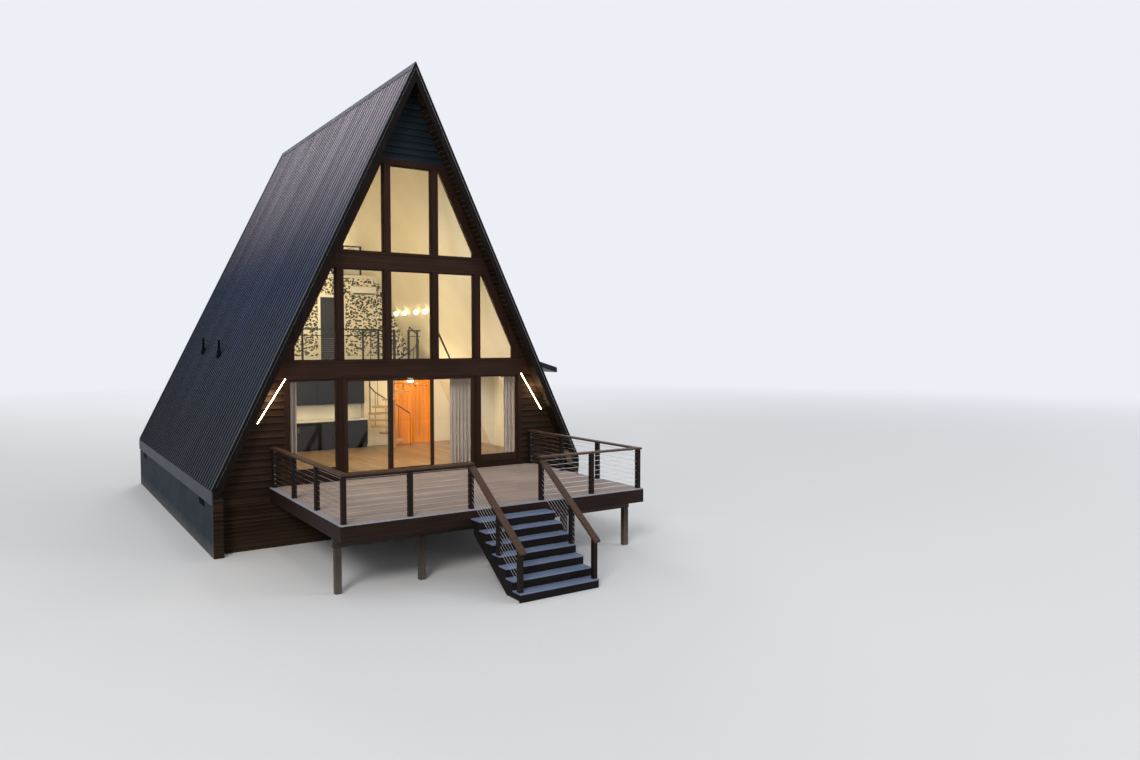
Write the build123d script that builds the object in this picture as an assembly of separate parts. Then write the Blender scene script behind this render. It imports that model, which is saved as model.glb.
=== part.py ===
"""A-frame cabin with a raised front deck, in millimetres.

The origin is the middle of the underside of the front foundation wall, at the
level of the ground below the stair. +X runs to the right along the front, +Y
runs to the back of the house and +Z is up.
"""
import math
import os

from build123d import *

# House, main sizes
HOUSE_LENGTH = 10962          # outer face of the front gable to that of the back gable
HALF_SPAN = 4778              # centre line to the eave corner
RIDGE_HEIGHT = 11397          # ground to the ridge line
EAVE_HEIGHT = 1465            # ground to the eave corner
GABLE_OVERHANG = 368          # gable wall to the outer face of the rake trim
FLOOR_HEIGHT = 1372           # ground to the ground floor and the deck surface
WALL_THICKNESS = 180
FOUNDATION_THICKNESS = 200
JOINT_GAP = 1                 # open joint between boards that meet end to end

# Roof layers, measured square to the slope from the outer face of the flashings
FLASHING_THICKNESS = 5
RIB_HEIGHT = 20
PAN_THICKNESS = 5
ROOF_SLAB_THICKNESS = 220
OVERHANG_SLAB_THICKNESS = 158
LINING_THICKNESS = 20
SOFFIT_THICKNESS = 18

# Ribbed roof metal
RIB_SPACING = 228.6
RIB_BASE_WIDTH = 62
RIB_CREST_WIDTH = 22
FIRST_RIB_FROM_EDGE = 46
RIDGE_CAP_WIDTH = 185
RAKE_TRIM_DROP = 62
RAKE_TRIM_LAP = 98
RAKE_TRIM_THICKNESS = 6
FASCIA_THICKNESS = 38

# Side walls under the eaves
SIDE_TRIM_THICKNESS = 25
SIDE_TRIM_DROP = 300
SIDE_WALL_TOP_BELOW_EAVE = 165
SIDE_WALL_INSET = 33          # eave corner to the outer face of the side wall

# Floors
FLOOR_THICKNESS = 290
GROUND_CEILING = 2438         # clear height of the ground floor
LOFT_EDGE_FROM_FRONT = 4400   # gable face to the front edge of the loft floor
LOFT_TO_UPPER_FLOOR = 2760    # loft floor surface to upper floor surface
UPPER_FLOOR_THICKNESS = 240
UPPER_EDGE_FROM_FRONT = 7400

# Front window rows, heights of the glass above the ground floor
GROUND_GLASS_TOP = 2377
ROW_TWO_GLASS = (2872, 4999)
ROW_THREE_GLASS_BOTTOM = 5466
POST_CENTRES = (627, 1811)
POST_WIDTH = 220
ROW_TWO_SHORT_SIDE = 287      # upright outer side of the slanted panes
ROW_THREE_SHORT_SIDE = 121
GLASS_SLOPE_INSET = 435       # level distance from the roof line to the slanted glass edge
CENTRE_PANE_SLOPE_INSET = 678  # level distance from the roof line to the top pane's corner
FRAME_WIDTH = 30
FRAME_DEPTH = 80
FRAME_SETBACK = 30
GLASS_THICKNESS = 24
SIDE_WINDOW_FROM_DOOR = 175   # rough door opening to the glass
SIDE_WINDOW_SLOPE_INSET = 694  # level distance from the roof line to the glass corner
SIDE_WINDOW_GLASS_BOTTOM = 332
SIDE_WINDOW_SILL = 172
BELT_PROJECTION = 22
BELT_LEDGE_PROJECTION = 50
BELT_LEDGE_HEIGHT = 38

# Sliding door in the front wall
DOOR_HALF_WIDTH = 1755        # half of the rough opening
DOOR_HEAD_HEIGHT = 2422       # floor to the top of the rough opening
DOOR_JAMB = 35
DOOR_SILL_HEIGHT = 22
DOOR_PANEL_WIDTH = 1220
DOOR_STILE = 85
DOOR_TOP_RAIL = 45
DOOR_BOTTOM_RAIL = 150
DOOR_PANEL_THICKNESS = 42
DOOR_TRACK_GAP = 12
DOOR_PANEL_CLEARANCE = 6      # above and below the sliding panel
DOOR_TRACK_WIDTH = 10
SEAT_CLEARANCE = 0.3
DOOR_GLASS_THICKNESS = 20
HANDLE_LENGTH = 260
HANDLE_HEIGHT = 1000
HANDLE_WIDTH = 24
HANDLE_DEPTH = 28

# Deck
DECK_HALF_WIDTH = 3470
DECK_DEPTH = 4784
BOARD_THICKNESS = 25
DECK_FASCIA_HEIGHT = 285
JOIST_HEIGHT = 235
JOIST_WIDTH = 38
JOIST_SPACING = 406.4
BEAM_WIDTH = 76
BEAM_HEIGHT = 250
BEAM_FROM_FRONT = 534
DECK_POST_SIZE = 120
DECK_POST_SPACING = 1675

# Railing
RAIL_HEIGHT = 914
RAIL_WIDTH = 140
RAIL_THICKNESS = 38
GUARD_POST_SIZE = 89
GUARD_INSET = 92              # deck edge to the middle of a post
CABLE_DIAMETER = 6
CABLE_COUNT = 8
CABLE_SPACING = 103
FIRST_CABLE_HEIGHT = 92
STAIR_RAIL_X = 815

# Front stair
STAIR_HALF_WIDTH = 870
RISER_COUNT = 8
RUN = 254
FIRST_TREAD_EXTRA = 112
NOSING = 25
TREAD_THICKNESS = 25
RISER_THICKNESS = 19
STRINGER_WIDTH = 38
STRINGER_X = 790
STRINGER_DEPTH = 300
NEWEL_STEP_COUNTS = (4, 7)    # steps below the deck
NEWEL_FROM_NOSING = 100
STAIR_RAIL_ABOVE_NOSING = 746
STAIR_CABLE_COUNT = 7
STAIR_CABLE_SPACING = 95
STAIR_RAIL_END = 60

# Spiral stair inside, angles counted round from the +X direction
SPIRAL_X = 1560
SPIRAL_FROM_FRONT = 5020
SPIRAL_RADIUS = 790
SPIRAL_POLE_RADIUS = 50
SPIRAL_RISERS = 12
SPIRAL_STEP_ANGLE = 30
SPIRAL_START_ANGLE = 28       # the newel on the ground floor
SPIRAL_TREAD_ANGLE = 33
SPIRAL_TREAD_THICKNESS = 50
SPIRAL_RAIL_HEIGHT = 1020     # tread to the underside of the handrail
SPIRAL_RAIL_SIZE = 36
SPIRAL_RAIL_FROM_POST = 12    # end of the handrail to the post of the loft guard
BALUSTER_SIZE = 16
SPIRAL_BALUSTER_INSET = 30
LANDING_ANGLES = (13, 65)
STAIRWELL_LEFT_X = 860
STAIRWELL_DEPTH = 1290

# Rooms
PARTITION_THICKNESS = 100
CORE_WALL_FROM_FRONT = 6050
CORE_WALL_LEFT_X = 970
KITCHEN_WALL_SETBACK = 300
WOOD_WALL_START_X = 1850
WOOD_WALL_CLEARANCE = 50      # to the sloping room lining at the ceiling
WOOD_WALL_THICKNESS = 15
KITCHEN_START = 60            # sloping room lining to the wall cabinets
WORKTOP_HEIGHT = 910
WORKTOP_THICKNESS = 40
WORKTOP_DEPTH = 635
WORKTOP_NOSE = 25
BASE_UNIT_DEPTH = 600
TOE_KICK = (60, 100)          # depth and height
WALL_UNIT_DEPTH = 330
WALL_UNIT_BOTTOM = 1370
WALL_UNIT_HEIGHT = 760
LOFT_DOOR_X = (50, 780)
LOFT_DOOR_HEIGHT = 2010
LOFT_DOOR_THICKNESS = 40
LOFT_DOOR_RECESS = 30
AIR_UNIT_WIDTH = 810
AIR_UNIT_FROM_LINING = 208    # level distance from its top corner to the sloping lining
AIR_UNIT_BOTTOM = 2125        # above the loft floor
AIR_UNIT_HEIGHT = 270
AIR_UNIT_DEPTH = 200
AIR_UNIT_ROUNDING = 45
LOFT_GUARD_HEIGHT = 950
LOFT_GUARD_POST = 50
LOFT_RAIL_HEIGHT = 40
LOFT_BAR_SIZE = 16            # middle rail and foot rail, front to back
LOFT_FOOT_RAIL_HEIGHT = 20
LOFT_BALUSTER_SPACING = 270
LOFT_MIDRAIL_DROP = 190
LOFT_MIDDLE_POST_X = -1405
EXIT_POSTS_X = (1870, 2340)   # either side of the way out of the spiral stair
LAST_GUARD_POST_X = 2640

# Dormer on the right slope, over the side entry
DORMER_FROM_FRONT = 1650
DORMER_WIDTH = 2700
DORMER_WALL = 120
DORMER_EAVE_X = 5270
DORMER_EAVE_HEIGHT = 3890
DORMER_SLOPE = 0.30
DORMER_ROOF_THICKNESS = 130
DORMER_ROOF_OVERHANG = 150
DORMER_WINDOW = (1200, 900)
DORMER_WINDOW_SILL = 1100
DORMER_OPENING_HEIGHT = 2600  # ground floor to the head of the opening in the room lining

# Roof vents
VENTS = ((7808, 4363), (5442, 4299))   # distance from the front gable, height
VENT_RADIUS = 45
VENT_RISE = 420
VENT_BOOT_SIZE = 240
VENT_BOOT_THICKNESS = 12

# Derived levels and planes
FRONT_Y = -WALL_THICKNESS / 2
BACK_Y = FRONT_Y + HOUSE_LENGTH
RAKE_FRONT_Y = FRONT_Y - GABLE_OVERHANG
RAKE_BACK_Y = BACK_Y + GABLE_OVERHANG
INNER_FRONT_Y = FRONT_Y + WALL_THICKNESS
INNER_BACK_Y = BACK_Y - WALL_THICKNESS
TANGENT = (RIDGE_HEIGHT - EAVE_HEIGHT) / HALF_SPAN
PITCH = math.atan(TANGENT)
SIN, COS = math.sin(PITCH), math.cos(PITCH)
SLOPE_LENGTH = HALF_SPAN / COS
SLAB_TOP = FLASHING_THICKNESS + RIB_HEIGHT + PAN_THICKNESS
SLAB_BOTTOM = SLAB_TOP + ROOF_SLAB_THICKNESS
OVERHANG_BOTTOM = SLAB_TOP + OVERHANG_SLAB_THICKNESS
LINING_BOTTOM = SLAB_BOTTOM + LINING_THICKNESS
SOFFIT_BOTTOM = OVERHANG_BOTTOM + SOFFIT_THICKNESS
SIDE_WALL_X = HALF_SPAN - SIDE_WALL_INSET
SIDE_WALL_TOP = EAVE_HEIGHT - SIDE_WALL_TOP_BELOW_EAVE
SIDE_WALL_INNER_X = SIDE_WALL_X - FOUNDATION_THICKNESS
ROW_THREE_GLASS_TOP = (RIDGE_HEIGHT - FLOOR_HEIGHT - TANGENT
                       * (POST_CENTRES[0] - POST_WIDTH / 2 + CENTRE_PANE_SLOPE_INSET))
LOFT_HEIGHT = FLOOR_HEIGHT + GROUND_CEILING + FLOOR_THICKNESS
LOFT_EDGE_Y = FRONT_Y + LOFT_EDGE_FROM_FRONT
STAIRWELL_BACK_Y = LOFT_EDGE_Y + STAIRWELL_DEPTH
UPPER_HEIGHT = LOFT_HEIGHT + LOFT_TO_UPPER_FLOOR
UPPER_EDGE_Y = FRONT_Y + UPPER_EDGE_FROM_FRONT
DECK_FRONT_Y = FRONT_Y - DECK_DEPTH
DECK_UNDER = FLOOR_HEIGHT - BOARD_THICKNESS
RISE = FLOOR_HEIGHT / RISER_COUNT
STAIR_PITCH = RISE / RUN
FASCIA_FRONT_Y = RAKE_FRONT_Y + RAKE_TRIM_THICKNESS
FASCIA_BACK_Y = RAKE_BACK_Y - RAKE_TRIM_THICKNESS
SLAB_FRONT_Y = FASCIA_FRONT_Y + FASCIA_THICKNESS
SLAB_BACK_Y = FASCIA_BACK_Y - FASCIA_THICKNESS

NODES = {}


def box(x0, x1, y0, y1, z0, z1):
    """A block between two corners."""
    centre = Pos((x0 + x1) / 2, (y0 + y1) / 2, (z0 + z1) / 2)
    return centre * Box(abs(x1 - x0), abs(y1 - y0), abs(z1 - z0))


def outline(points):
    return make_face(Polyline(*points, close=True))


def plate_xz(points, y0, y1):
    """An outline drawn in X and Z, as thick as from y0 to y1."""
    plane = Plane(origin=(0, y0, 0), x_dir=(1, 0, 0), z_dir=(0, -1, 0))
    return extrude(plane * outline(points), amount=y1 - y0, dir=(0, 1, 0))


def plate_yz(points, x0, x1):
    """An outline drawn in Y and Z, as thick as from x0 to x1."""
    plane = Plane(origin=(x0, 0, 0), x_dir=(0, 1, 0), z_dir=(1, 0, 0))
    return extrude(plane * outline(points), amount=x1 - x0, dir=(1, 0, 0))


def plate_xy(points, z0, z1):
    """An outline drawn in plan, as thick as from z0 to z1."""
    return extrude(Pos(0, 0, z0) * outline(points), amount=z1 - z0)


def ring_xz(outer, inner, y0, y1):
    return plate_xz(outer, y0, y1) - plate_xz(inner, y0, y1)


def rectangle(x0, x1, z0, z1):
    return [(x0, z0), (x1, z0), (x1, z1), (x0, z1)]


def mirrored(points):
    return [(-x, z) for x, z in points]


def other_side(shape):
    """The same piece on the left of the house."""
    return mirror(shape, Plane.YZ)


def slope_x(z, depth):
    """Half width of the roof at a height, some depth inside its outer face."""
    return (RIDGE_HEIGHT - z) / TANGENT - depth / SIN


def slope_z(x, depth):
    """Height of a roof layer above a point, some depth inside its outer face."""
    return RIDGE_HEIGHT - (x + depth / SIN) * TANGENT


def slope_band(depth0, depth1, z_low, x_limit=None, x_start=0):
    """Right half of a roof layer, cut level at z_low and, where given, plumb at x_limit."""
    points = [(x_start, slope_z(x_start, depth1)), (x_start, slope_z(x_start, depth0))]
    if x_limit is None:
        points.append((slope_x(z_low, depth0), z_low))
    else:
        points += [(x_limit, slope_z(x_limit, depth0)), (x_limit, z_low)]
    return points + [(slope_x(z_low, depth1), z_low)]


def grown(points, amount):
    """A convex outline with each side moved outwards by amount, corners kept sharp."""
    centre_x = sum(x for x, z in points) / len(points)
    centre_z = sum(z for x, z in points) / len(points)
    sides = []
    for (ax, az), (bx, bz) in zip(points, points[1:] + points[:1]):
        length = math.hypot(bx - ax, bz - az)
        nx, nz = (bz - az) / length, (ax - bx) / length
        if nx * (ax - centre_x) + nz * (az - centre_z) < 0:
            nx, nz = -nx, -nz
        sides.append((nx, nz, nx * ax + nz * az + amount))
    corners = []
    for (a, b, c), (d, e, f) in zip(sides[-1:] + sides[:-1], sides):
        det = a * e - b * d
        corners.append(((c * e - b * f) / det, (a * f - c * d) / det))
    return corners


def bar(start, end, size, sides=8):
    """A round bar between two points, cut square to X or Y, whichever it runs along."""
    step = [b - a for a, b in zip(start, end)]
    along_x = abs(step[0]) > abs(step[1])
    if along_x:
        plane = Plane(origin=start, x_dir=(0, 1, 0), z_dir=(1, 0, 0))
    else:
        plane = Plane(origin=start, x_dir=(1, 0, 0), z_dir=(0, -1, 0))
    length = math.sqrt(sum(s * s for s in step))
    profile = plane * RegularPolygon(radius=size / 2, side_count=sides)
    return extrude(profile, amount=length, dir=tuple(s / length for s in step))


def add(name, *shapes):
    """Keep the solids of one sub-part under its node's name."""
    solids = []
    for shape in shapes:
        solids.extend(shape.solids())
    NODES[name] = Compound(children=solids) if len(solids) > 1 else solids[0]


# Window outlines, shared by both gables


def upper_panes():
    """Glass outlines of the two upper window rows, in X and Z."""
    half = POST_WIDTH / 2
    inner, outer = POST_CENTRES
    row2_low, row2_top = (FLOOR_HEIGHT + h for h in ROW_TWO_GLASS)
    row3_low = FLOOR_HEIGHT + ROW_THREE_GLASS_BOTTOM
    row3_top = FLOOR_HEIGHT + ROW_THREE_GLASS_TOP

    def slanted(x0, short_side, low, top):
        """A pane with a short upright outer side and a slanted one above it."""
        def edge_x(z):
            return slope_x(z, 0) - GLASS_SLOPE_INSET
        shoulder = low + short_side
        x1 = edge_x(shoulder)
        points = [(x0, low), (x1, low), (x1, shoulder)]
        if edge_x(top) > x0:
            points.append((edge_x(top), top))
            points.append((x0, top))
        else:
            points.append((x0, RIDGE_HEIGHT - (x0 + GLASS_SLOPE_INSET) * TANGENT))
        return points

    outer_pane = slanted(outer + half, ROW_TWO_SHORT_SIDE, row2_low, row2_top)
    inner_pane = rectangle(inner + half, outer - half, row2_low, row2_top)
    triangle = slanted(inner + half, ROW_THREE_SHORT_SIDE, row3_low, row3_top)
    centre = inner - half
    return [
        rectangle(-centre, centre, row2_low, row2_top),
        inner_pane, mirrored(inner_pane),
        outer_pane, mirrored(outer_pane),
        rectangle(-centre, centre, row3_low, row3_top),
        triangle, mirrored(triangle),
    ]


def side_window():
    """Glass outline and outer frame outline of a tall window beside the door."""
    top = FLOOR_HEIGHT + GROUND_GLASS_TOP
    x0 = DOOR_HALF_WIDTH + SIDE_WINDOW_FROM_DOOR
    x1 = slope_x(top, 0) - SIDE_WINDOW_SLOPE_INSET
    glass = rectangle(x0, x1, FLOOR_HEIGHT + SIDE_WINDOW_GLASS_BOTTOM, top)
    frame = rectangle(x0 - FRAME_WIDTH, x1 + FRAME_WIDTH,
                      FLOOR_HEIGHT + SIDE_WINDOW_SILL, top + FRAME_WIDTH)
    return glass, frame


def gable_windows(face_y, inward):
    """Frames, glass and wall openings of one gable's fixed windows."""
    frame_a = face_y + inward * FRAME_SETBACK
    frame_b = frame_a + inward * FRAME_DEPTH
    glass_a = frame_a + inward * (FRAME_DEPTH - GLASS_THICKNESS) / 2
    glass_b = glass_a + inward * GLASS_THICKNESS
    glass_span = sorted((glass_a, glass_b))
    frame_span = sorted((frame_a, frame_b))
    ground_glass, ground_frame = side_window()
    pairs = [(pane, grown(pane, FRAME_WIDTH)) for pane in upper_panes()]
    pairs += [(ground_glass, ground_frame), (mirrored(ground_glass), mirrored(ground_frame))]
    frames = [ring_xz(outer, pane, *frame_span) for pane, outer in pairs]
    glass = [plate_xz(pane, *glass_span) for pane, outer in pairs]
    openings = [outer for pane, outer in pairs]
    return frames, glass, openings


def gable_outline(z_low, depth=OVERHANG_BOTTOM):
    """The gable wall above a level, under the overhanging roof slab."""
    half = slope_x(z_low, depth)
    return [(-half, z_low), (half, z_low), (0, slope_z(0, depth))]


def cut_openings(wall, openings, y0, y1):
    for opening in openings:
        wall -= plate_xz(opening, y0 - 1, y1 + 1)
    return wall


# Foundation and floors


def foundation():
    right = box(SIDE_WALL_INNER_X, SIDE_WALL_X, FASCIA_FRONT_Y, FASCIA_BACK_Y, 0, SIDE_WALL_TOP)
    add("foundation_side_walls", right, other_side(right))
    x = SIDE_WALL_INNER_X
    half = [(x, 0), (x, SIDE_WALL_TOP), (slope_x(SIDE_WALL_TOP, SOFFIT_BOTTOM), SIDE_WALL_TOP),
            (slope_x(FLOOR_HEIGHT, SOFFIT_BOTTOM), FLOOR_HEIGHT)]
    end_wall = half + mirrored(half)[::-1]
    add("foundation_end_walls", plate_xz(end_wall, FRONT_Y, INNER_FRONT_Y),
        plate_xz(end_wall, INNER_BACK_Y, BACK_Y))
    trim_top = EAVE_HEIGHT - SLAB_TOP * COS - JOINT_GAP
    trim = box(SIDE_WALL_X, SIDE_WALL_X + SIDE_TRIM_THICKNESS, RAKE_FRONT_Y, RAKE_BACK_Y,
               trim_top - SIDE_TRIM_DROP, trim_top)
    add("side_trim_boards", trim, other_side(trim))


def floors():
    x = SIDE_WALL_INNER_X
    add("ground_floor", box(-x, x, INNER_FRONT_Y, INNER_BACK_Y,
                            FLOOR_HEIGHT - FLOOR_THICKNESS, FLOOR_HEIGHT))
    add("loft_floor", loft_floor_solid())
    low = UPPER_HEIGHT - UPPER_FLOOR_THICKNESS
    add("upper_floor", plate_xz(between_linings(low, UPPER_HEIGHT), UPPER_EDGE_Y, INNER_BACK_Y))


def between_linings(z0, z1):
    """A level slab's end outline, its edges on the sloping room lining."""
    x0, x1 = slope_x(z0, LINING_BOTTOM), slope_x(z1, LINING_BOTTOM)
    return [(-x0, z0), (x0, z0), (x1, z1), (-x1, z1)]


def loft_floor_solid():
    low = LOFT_HEIGHT - FLOOR_THICKNESS
    slab = plate_xz(between_linings(low, LOFT_HEIGHT), LOFT_EDGE_Y, INNER_BACK_Y)
    well = box(STAIRWELL_LEFT_X, HALF_SPAN, LOFT_EDGE_Y - 1, STAIRWELL_BACK_Y,
               low - 1, LOFT_HEIGHT + 1)
    return slab - well


# Roof


def dormer_span():
    """Front and back faces of the dormer's side walls."""
    front = FRONT_Y + DORMER_FROM_FRONT
    return front, front + DORMER_WIDTH


def dormer_roof_top(x):
    return DORMER_EAVE_HEIGHT + (DORMER_EAVE_X - x) * DORMER_SLOPE


def dormer_head_x(depth):
    """Where the dormer's roof underside meets a layer of the main slope."""
    low = DORMER_EAVE_HEIGHT - DORMER_ROOF_THICKNESS + DORMER_EAVE_X * DORMER_SLOPE
    return (slope_z(0, depth) - low) / (TANGENT - DORMER_SLOPE)


def dormer_cut():
    """The space that the dormer opens in the right slope, down to the side wall."""
    front, back = dormer_span()
    head = FLOOR_HEIGHT + DORMER_OPENING_HEIGHT
    under = dormer_roof_top(0) - DORMER_ROOF_THICKNESS
    x_in = slope_x(head, LINING_BOTTOM)
    x_meet = (under - head) / DORMER_SLOPE
    x_out = HALF_SPAN + GABLE_OVERHANG
    points = [(x_in, SIDE_WALL_TOP), (x_out, SIDE_WALL_TOP),
              (x_out, under - x_out * DORMER_SLOPE), (x_meet, head), (x_in, head)]
    return plate_xz(points, front + DORMER_WALL, back - DORMER_WALL)


def roof_slabs():
    main = plate_xz(slope_band(SLAB_TOP, SLAB_BOTTOM, SIDE_WALL_TOP, SIDE_WALL_X),
                    INNER_FRONT_Y, INNER_BACK_Y)
    edge = slope_band(SLAB_TOP, OVERHANG_BOTTOM, SIDE_WALL_TOP, SIDE_WALL_X)
    slab = main + plate_xz(edge, SLAB_FRONT_Y, INNER_FRONT_Y)
    slab += plate_xz(edge, INNER_BACK_Y, SLAB_BACK_Y)
    add("roof_left", other_side(slab))
    add("roof_right", slab - dormer_cut())
    lining = plate_xz(slope_band(SLAB_BOTTOM, LINING_BOTTOM, FLOOR_HEIGHT),
                      INNER_FRONT_Y, INNER_BACK_Y)
    add("roof_linings", lining - dormer_cut(), other_side(lining))


def roof_metal():
    """Ribbed sheets: the cross-section runs along the eave and is drawn down the slope."""
    y0, y1 = FASCIA_FRONT_Y, FASCIA_BACK_Y
    pan_top, crest = PAN_THICKNESS, PAN_THICKNESS + RIB_HEIGHT
    points = [(y0, 0), (y0, pan_top)]
    centre = y0 + FIRST_RIB_FROM_EDGE
    while centre + RIB_BASE_WIDTH / 2 < y1:
        points.append((centre - RIB_BASE_WIDTH / 2, pan_top))
        points.append((centre - RIB_CREST_WIDTH / 2, crest))
        points.append((centre + RIB_CREST_WIDTH / 2, crest))
        points.append((centre + RIB_BASE_WIDTH / 2, pan_top))
        centre += RIB_SPACING
    points += [(y1, pan_top), (y1, 0)]
    start = (SLAB_TOP * SIN + JOINT_GAP) / COS
    underside = (start * COS - SLAB_TOP * SIN, 0, RIDGE_HEIGHT - start * SIN - SLAB_TOP * COS)
    across = Plane(origin=underside, x_dir=(0, 1, 0), z_dir=(COS, 0, -SIN))
    sheet = extrude(across * outline(points), amount=SLOPE_LENGTH - start, dir=(COS, 0, -SIN))
    add("roof_metal_left", other_side(sheet))
    front, back = dormer_span()
    x_in = dormer_head_x(SLAB_TOP)
    tall = RIDGE_HEIGHT
    clear = box(0, HALF_SPAN + GABLE_OVERHANG, front, back, 0, tall)
    above = plate_xz([(0, dormer_roof_top(0)), (0, tall), (HALF_SPAN + GABLE_OVERHANG, tall),
                      (HALF_SPAN + GABLE_OVERHANG, dormer_roof_top(HALF_SPAN + GABLE_OVERHANG))],
                     front - 1, back + 1)
    add("roof_metal_right", sheet - (clear - above))


def chevron(depth0, depth1, reach):
    """Both slopes of a folded sheet from the ridge down to a level half width."""
    return [
        (-reach, slope_z(reach, depth0)), (0, slope_z(0, depth0)), (reach, slope_z(reach, depth0)),
        (reach, slope_z(reach, depth1)), (0, slope_z(0, depth1)), (-reach, slope_z(reach, depth1)),
    ]


def roof_edges():
    cap = plate_xz(chevron(0, FLASHING_THICKNESS, RIDGE_CAP_WIDTH * COS), RAKE_FRONT_Y, RAKE_BACK_Y)
    lap = chevron(0, FLASHING_THICKNESS, HALF_SPAN - FLASHING_THICKNESS / SIN)
    drop = chevron(0, RAKE_TRIM_DROP, SIDE_WALL_X)
    flashing = cap
    for outer, inward in ((RAKE_FRONT_Y, 1), (RAKE_BACK_Y, -1)):
        lap_span = sorted((outer, outer + inward * RAKE_TRIM_LAP))
        drop_span = sorted((outer, outer + inward * RAKE_TRIM_THICKNESS))
        flashing += plate_xz(lap, *lap_span)
        flashing += plate_xz(drop, *drop_span)
    add("roof_flashings", flashing)

    board = slope_band(SLAB_TOP, SOFFIT_BOTTOM, SIDE_WALL_TOP, SIDE_WALL_X, JOINT_GAP / 2)
    front = plate_xz(board, FASCIA_FRONT_Y, SLAB_FRONT_Y)
    back = plate_xz(board, SLAB_BACK_Y, FASCIA_BACK_Y)
    add("rake_fascias", front, other_side(front), back, other_side(back))

    lower = slope_band(OVERHANG_BOTTOM, SOFFIT_BOTTOM, SIDE_WALL_TOP, x_start=JOINT_GAP / 2)
    front = plate_xz(lower, SLAB_FRONT_Y, FRONT_Y)
    back = plate_xz(lower, BACK_Y, SLAB_BACK_Y)
    add("soffits", front, other_side(front), back, other_side(back))


def cut_below(shape, plane, depth):
    """What is left of a shape outside a layer of the roof."""
    size = 4 * VENT_RISE
    return shape - plane * Pos(0, 0, -depth) * Box(size, size, size,
                                                   align=(Align.CENTER, Align.CENTER, Align.MAX))


def roof_vents():
    """Two vent pipes through the left slope, each in a square boot."""
    pieces = []
    for from_front, height in VENTS:
        y = FRONT_Y + from_front
        x = -slope_x(height, 0)
        tilt = Plane(origin=(x, y, height), x_dir=(0, 1, 0), z_dir=(-SIN, 0, COS))
        seat = FLASHING_THICKNESS
        boot = tilt * Pos(0, 0, -seat) * Box(VENT_BOOT_SIZE, VENT_BOOT_SIZE, VENT_BOOT_THICKNESS,
                                             align=(Align.CENTER, Align.CENTER, Align.MIN))
        pipe = Pos(x, y, height + VENT_RISE) * Cylinder(
            VENT_RADIUS, 2 * VENT_RISE, align=(Align.CENTER, Align.CENTER, Align.MAX))
        pieces.append(boot + cut_below(pipe, tilt, seat))
    add("roof_vents", *pieces)


# Gable walls


def front_gable():
    y0, y1 = FRONT_Y, INNER_FRONT_Y
    frames, glass, openings = gable_windows(FRONT_Y, 1)
    split = FLOOR_HEIGHT + DOOR_HEAD_HEIGHT
    upper = cut_openings(plate_xz(gable_outline(split), y0, y1), openings, y0, y1)
    add("front_wall_upper", upper)
    side = plate_xz([(DOOR_HALF_WIDTH, FLOOR_HEIGHT),
                     (slope_x(FLOOR_HEIGHT, OVERHANG_BOTTOM), FLOOR_HEIGHT),
                     (slope_x(split, OVERHANG_BOTTOM), split), (DOOR_HALF_WIDTH, split)], y0, y1)
    side = cut_openings(side, [side_window()[1]], y0, y1)
    add("front_walls_beside_door", side, other_side(side))
    return frames, glass + fixed_door_glass(), belts(FRONT_Y, -1)


def belts(face_y, outward):
    """Trim boards between the window rows, each with a ledge on top."""
    boards = []
    spans = ((DOOR_HEAD_HEIGHT, ROW_TWO_GLASS[0] - FRAME_WIDTH),
             (ROW_TWO_GLASS[1] + FRAME_WIDTH, ROW_THREE_GLASS_BOTTOM - FRAME_WIDTH))
    for low, high in spans:
        z0, z1 = FLOOR_HEIGHT + low, FLOOR_HEIGHT + high
        ledge = z1 - BELT_LEDGE_HEIGHT
        x0, x1, x2 = (slope_x(z, SOFFIT_BOTTOM) for z in (z0, ledge, z1))
        near = sorted((face_y, face_y + outward * BELT_PROJECTION))
        far = sorted((face_y, face_y + outward * BELT_LEDGE_PROJECTION))
        board = plate_xz([(-x0, z0), (x0, z0), (x1, ledge), (-x1, ledge)], *near)
        board += plate_xz([(-x1, ledge), (x1, ledge), (x2, z1), (-x2, z1)], *far)
        boards.append(board)
    return boards


def back_gable():
    y0, y1 = INNER_BACK_Y, BACK_Y
    frames, glass, openings = gable_windows(BACK_Y, -1)
    wall = cut_openings(plate_xz(gable_outline(FLOOR_HEIGHT), y0, y1), openings, y0, y1)
    add("back_wall", wall)
    return frames, glass, belts(BACK_Y, 1)


def gables():
    front_frames, front_glass, front_belts = front_gable()
    back_frames, back_glass, back_belts = back_gable()
    add("window_frames", *(front_frames + back_frames))
    add("window_glass", *(front_glass + back_glass))
    add("belt_boards", *(front_belts + back_belts))


# Sliding door


def door_levels():
    """Heights of the sill's top and the head's underside."""
    sill = FLOOR_HEIGHT + DOOR_SILL_HEIGHT
    head = FLOOR_HEIGHT + DOOR_HEAD_HEIGHT - DOOR_JAMB
    return sill, head


def track_span(track):
    """Front and back faces of a door panel in the outer (0) or inner (1) track."""
    front = FRONT_Y + FRAME_SETBACK + track * (DOOR_PANEL_THICKNESS + DOOR_TRACK_GAP)
    return front, front + DOOR_PANEL_THICKNESS


def door_panel(x0, z0, z1, track):
    """A glazed panel's stiles and rails, and the outline of its glass."""
    pane = rectangle(x0 + DOOR_STILE, x0 + DOOR_PANEL_WIDTH - DOOR_STILE,
                     z0 + DOOR_BOTTOM_RAIL, z1 - DOOR_TOP_RAIL)
    y0, y1 = track_span(track)
    return ring_xz(rectangle(x0, x0 + DOOR_PANEL_WIDTH, z0, z1), pane, y0, y1), pane


def panel_glass(pane, track):
    y0, y1 = track_span(track)
    middle = (y0 + y1) / 2
    return plate_xz(pane, middle - DOOR_GLASS_THICKNESS / 2, middle + DOOR_GLASS_THICKNESS / 2)


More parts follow.
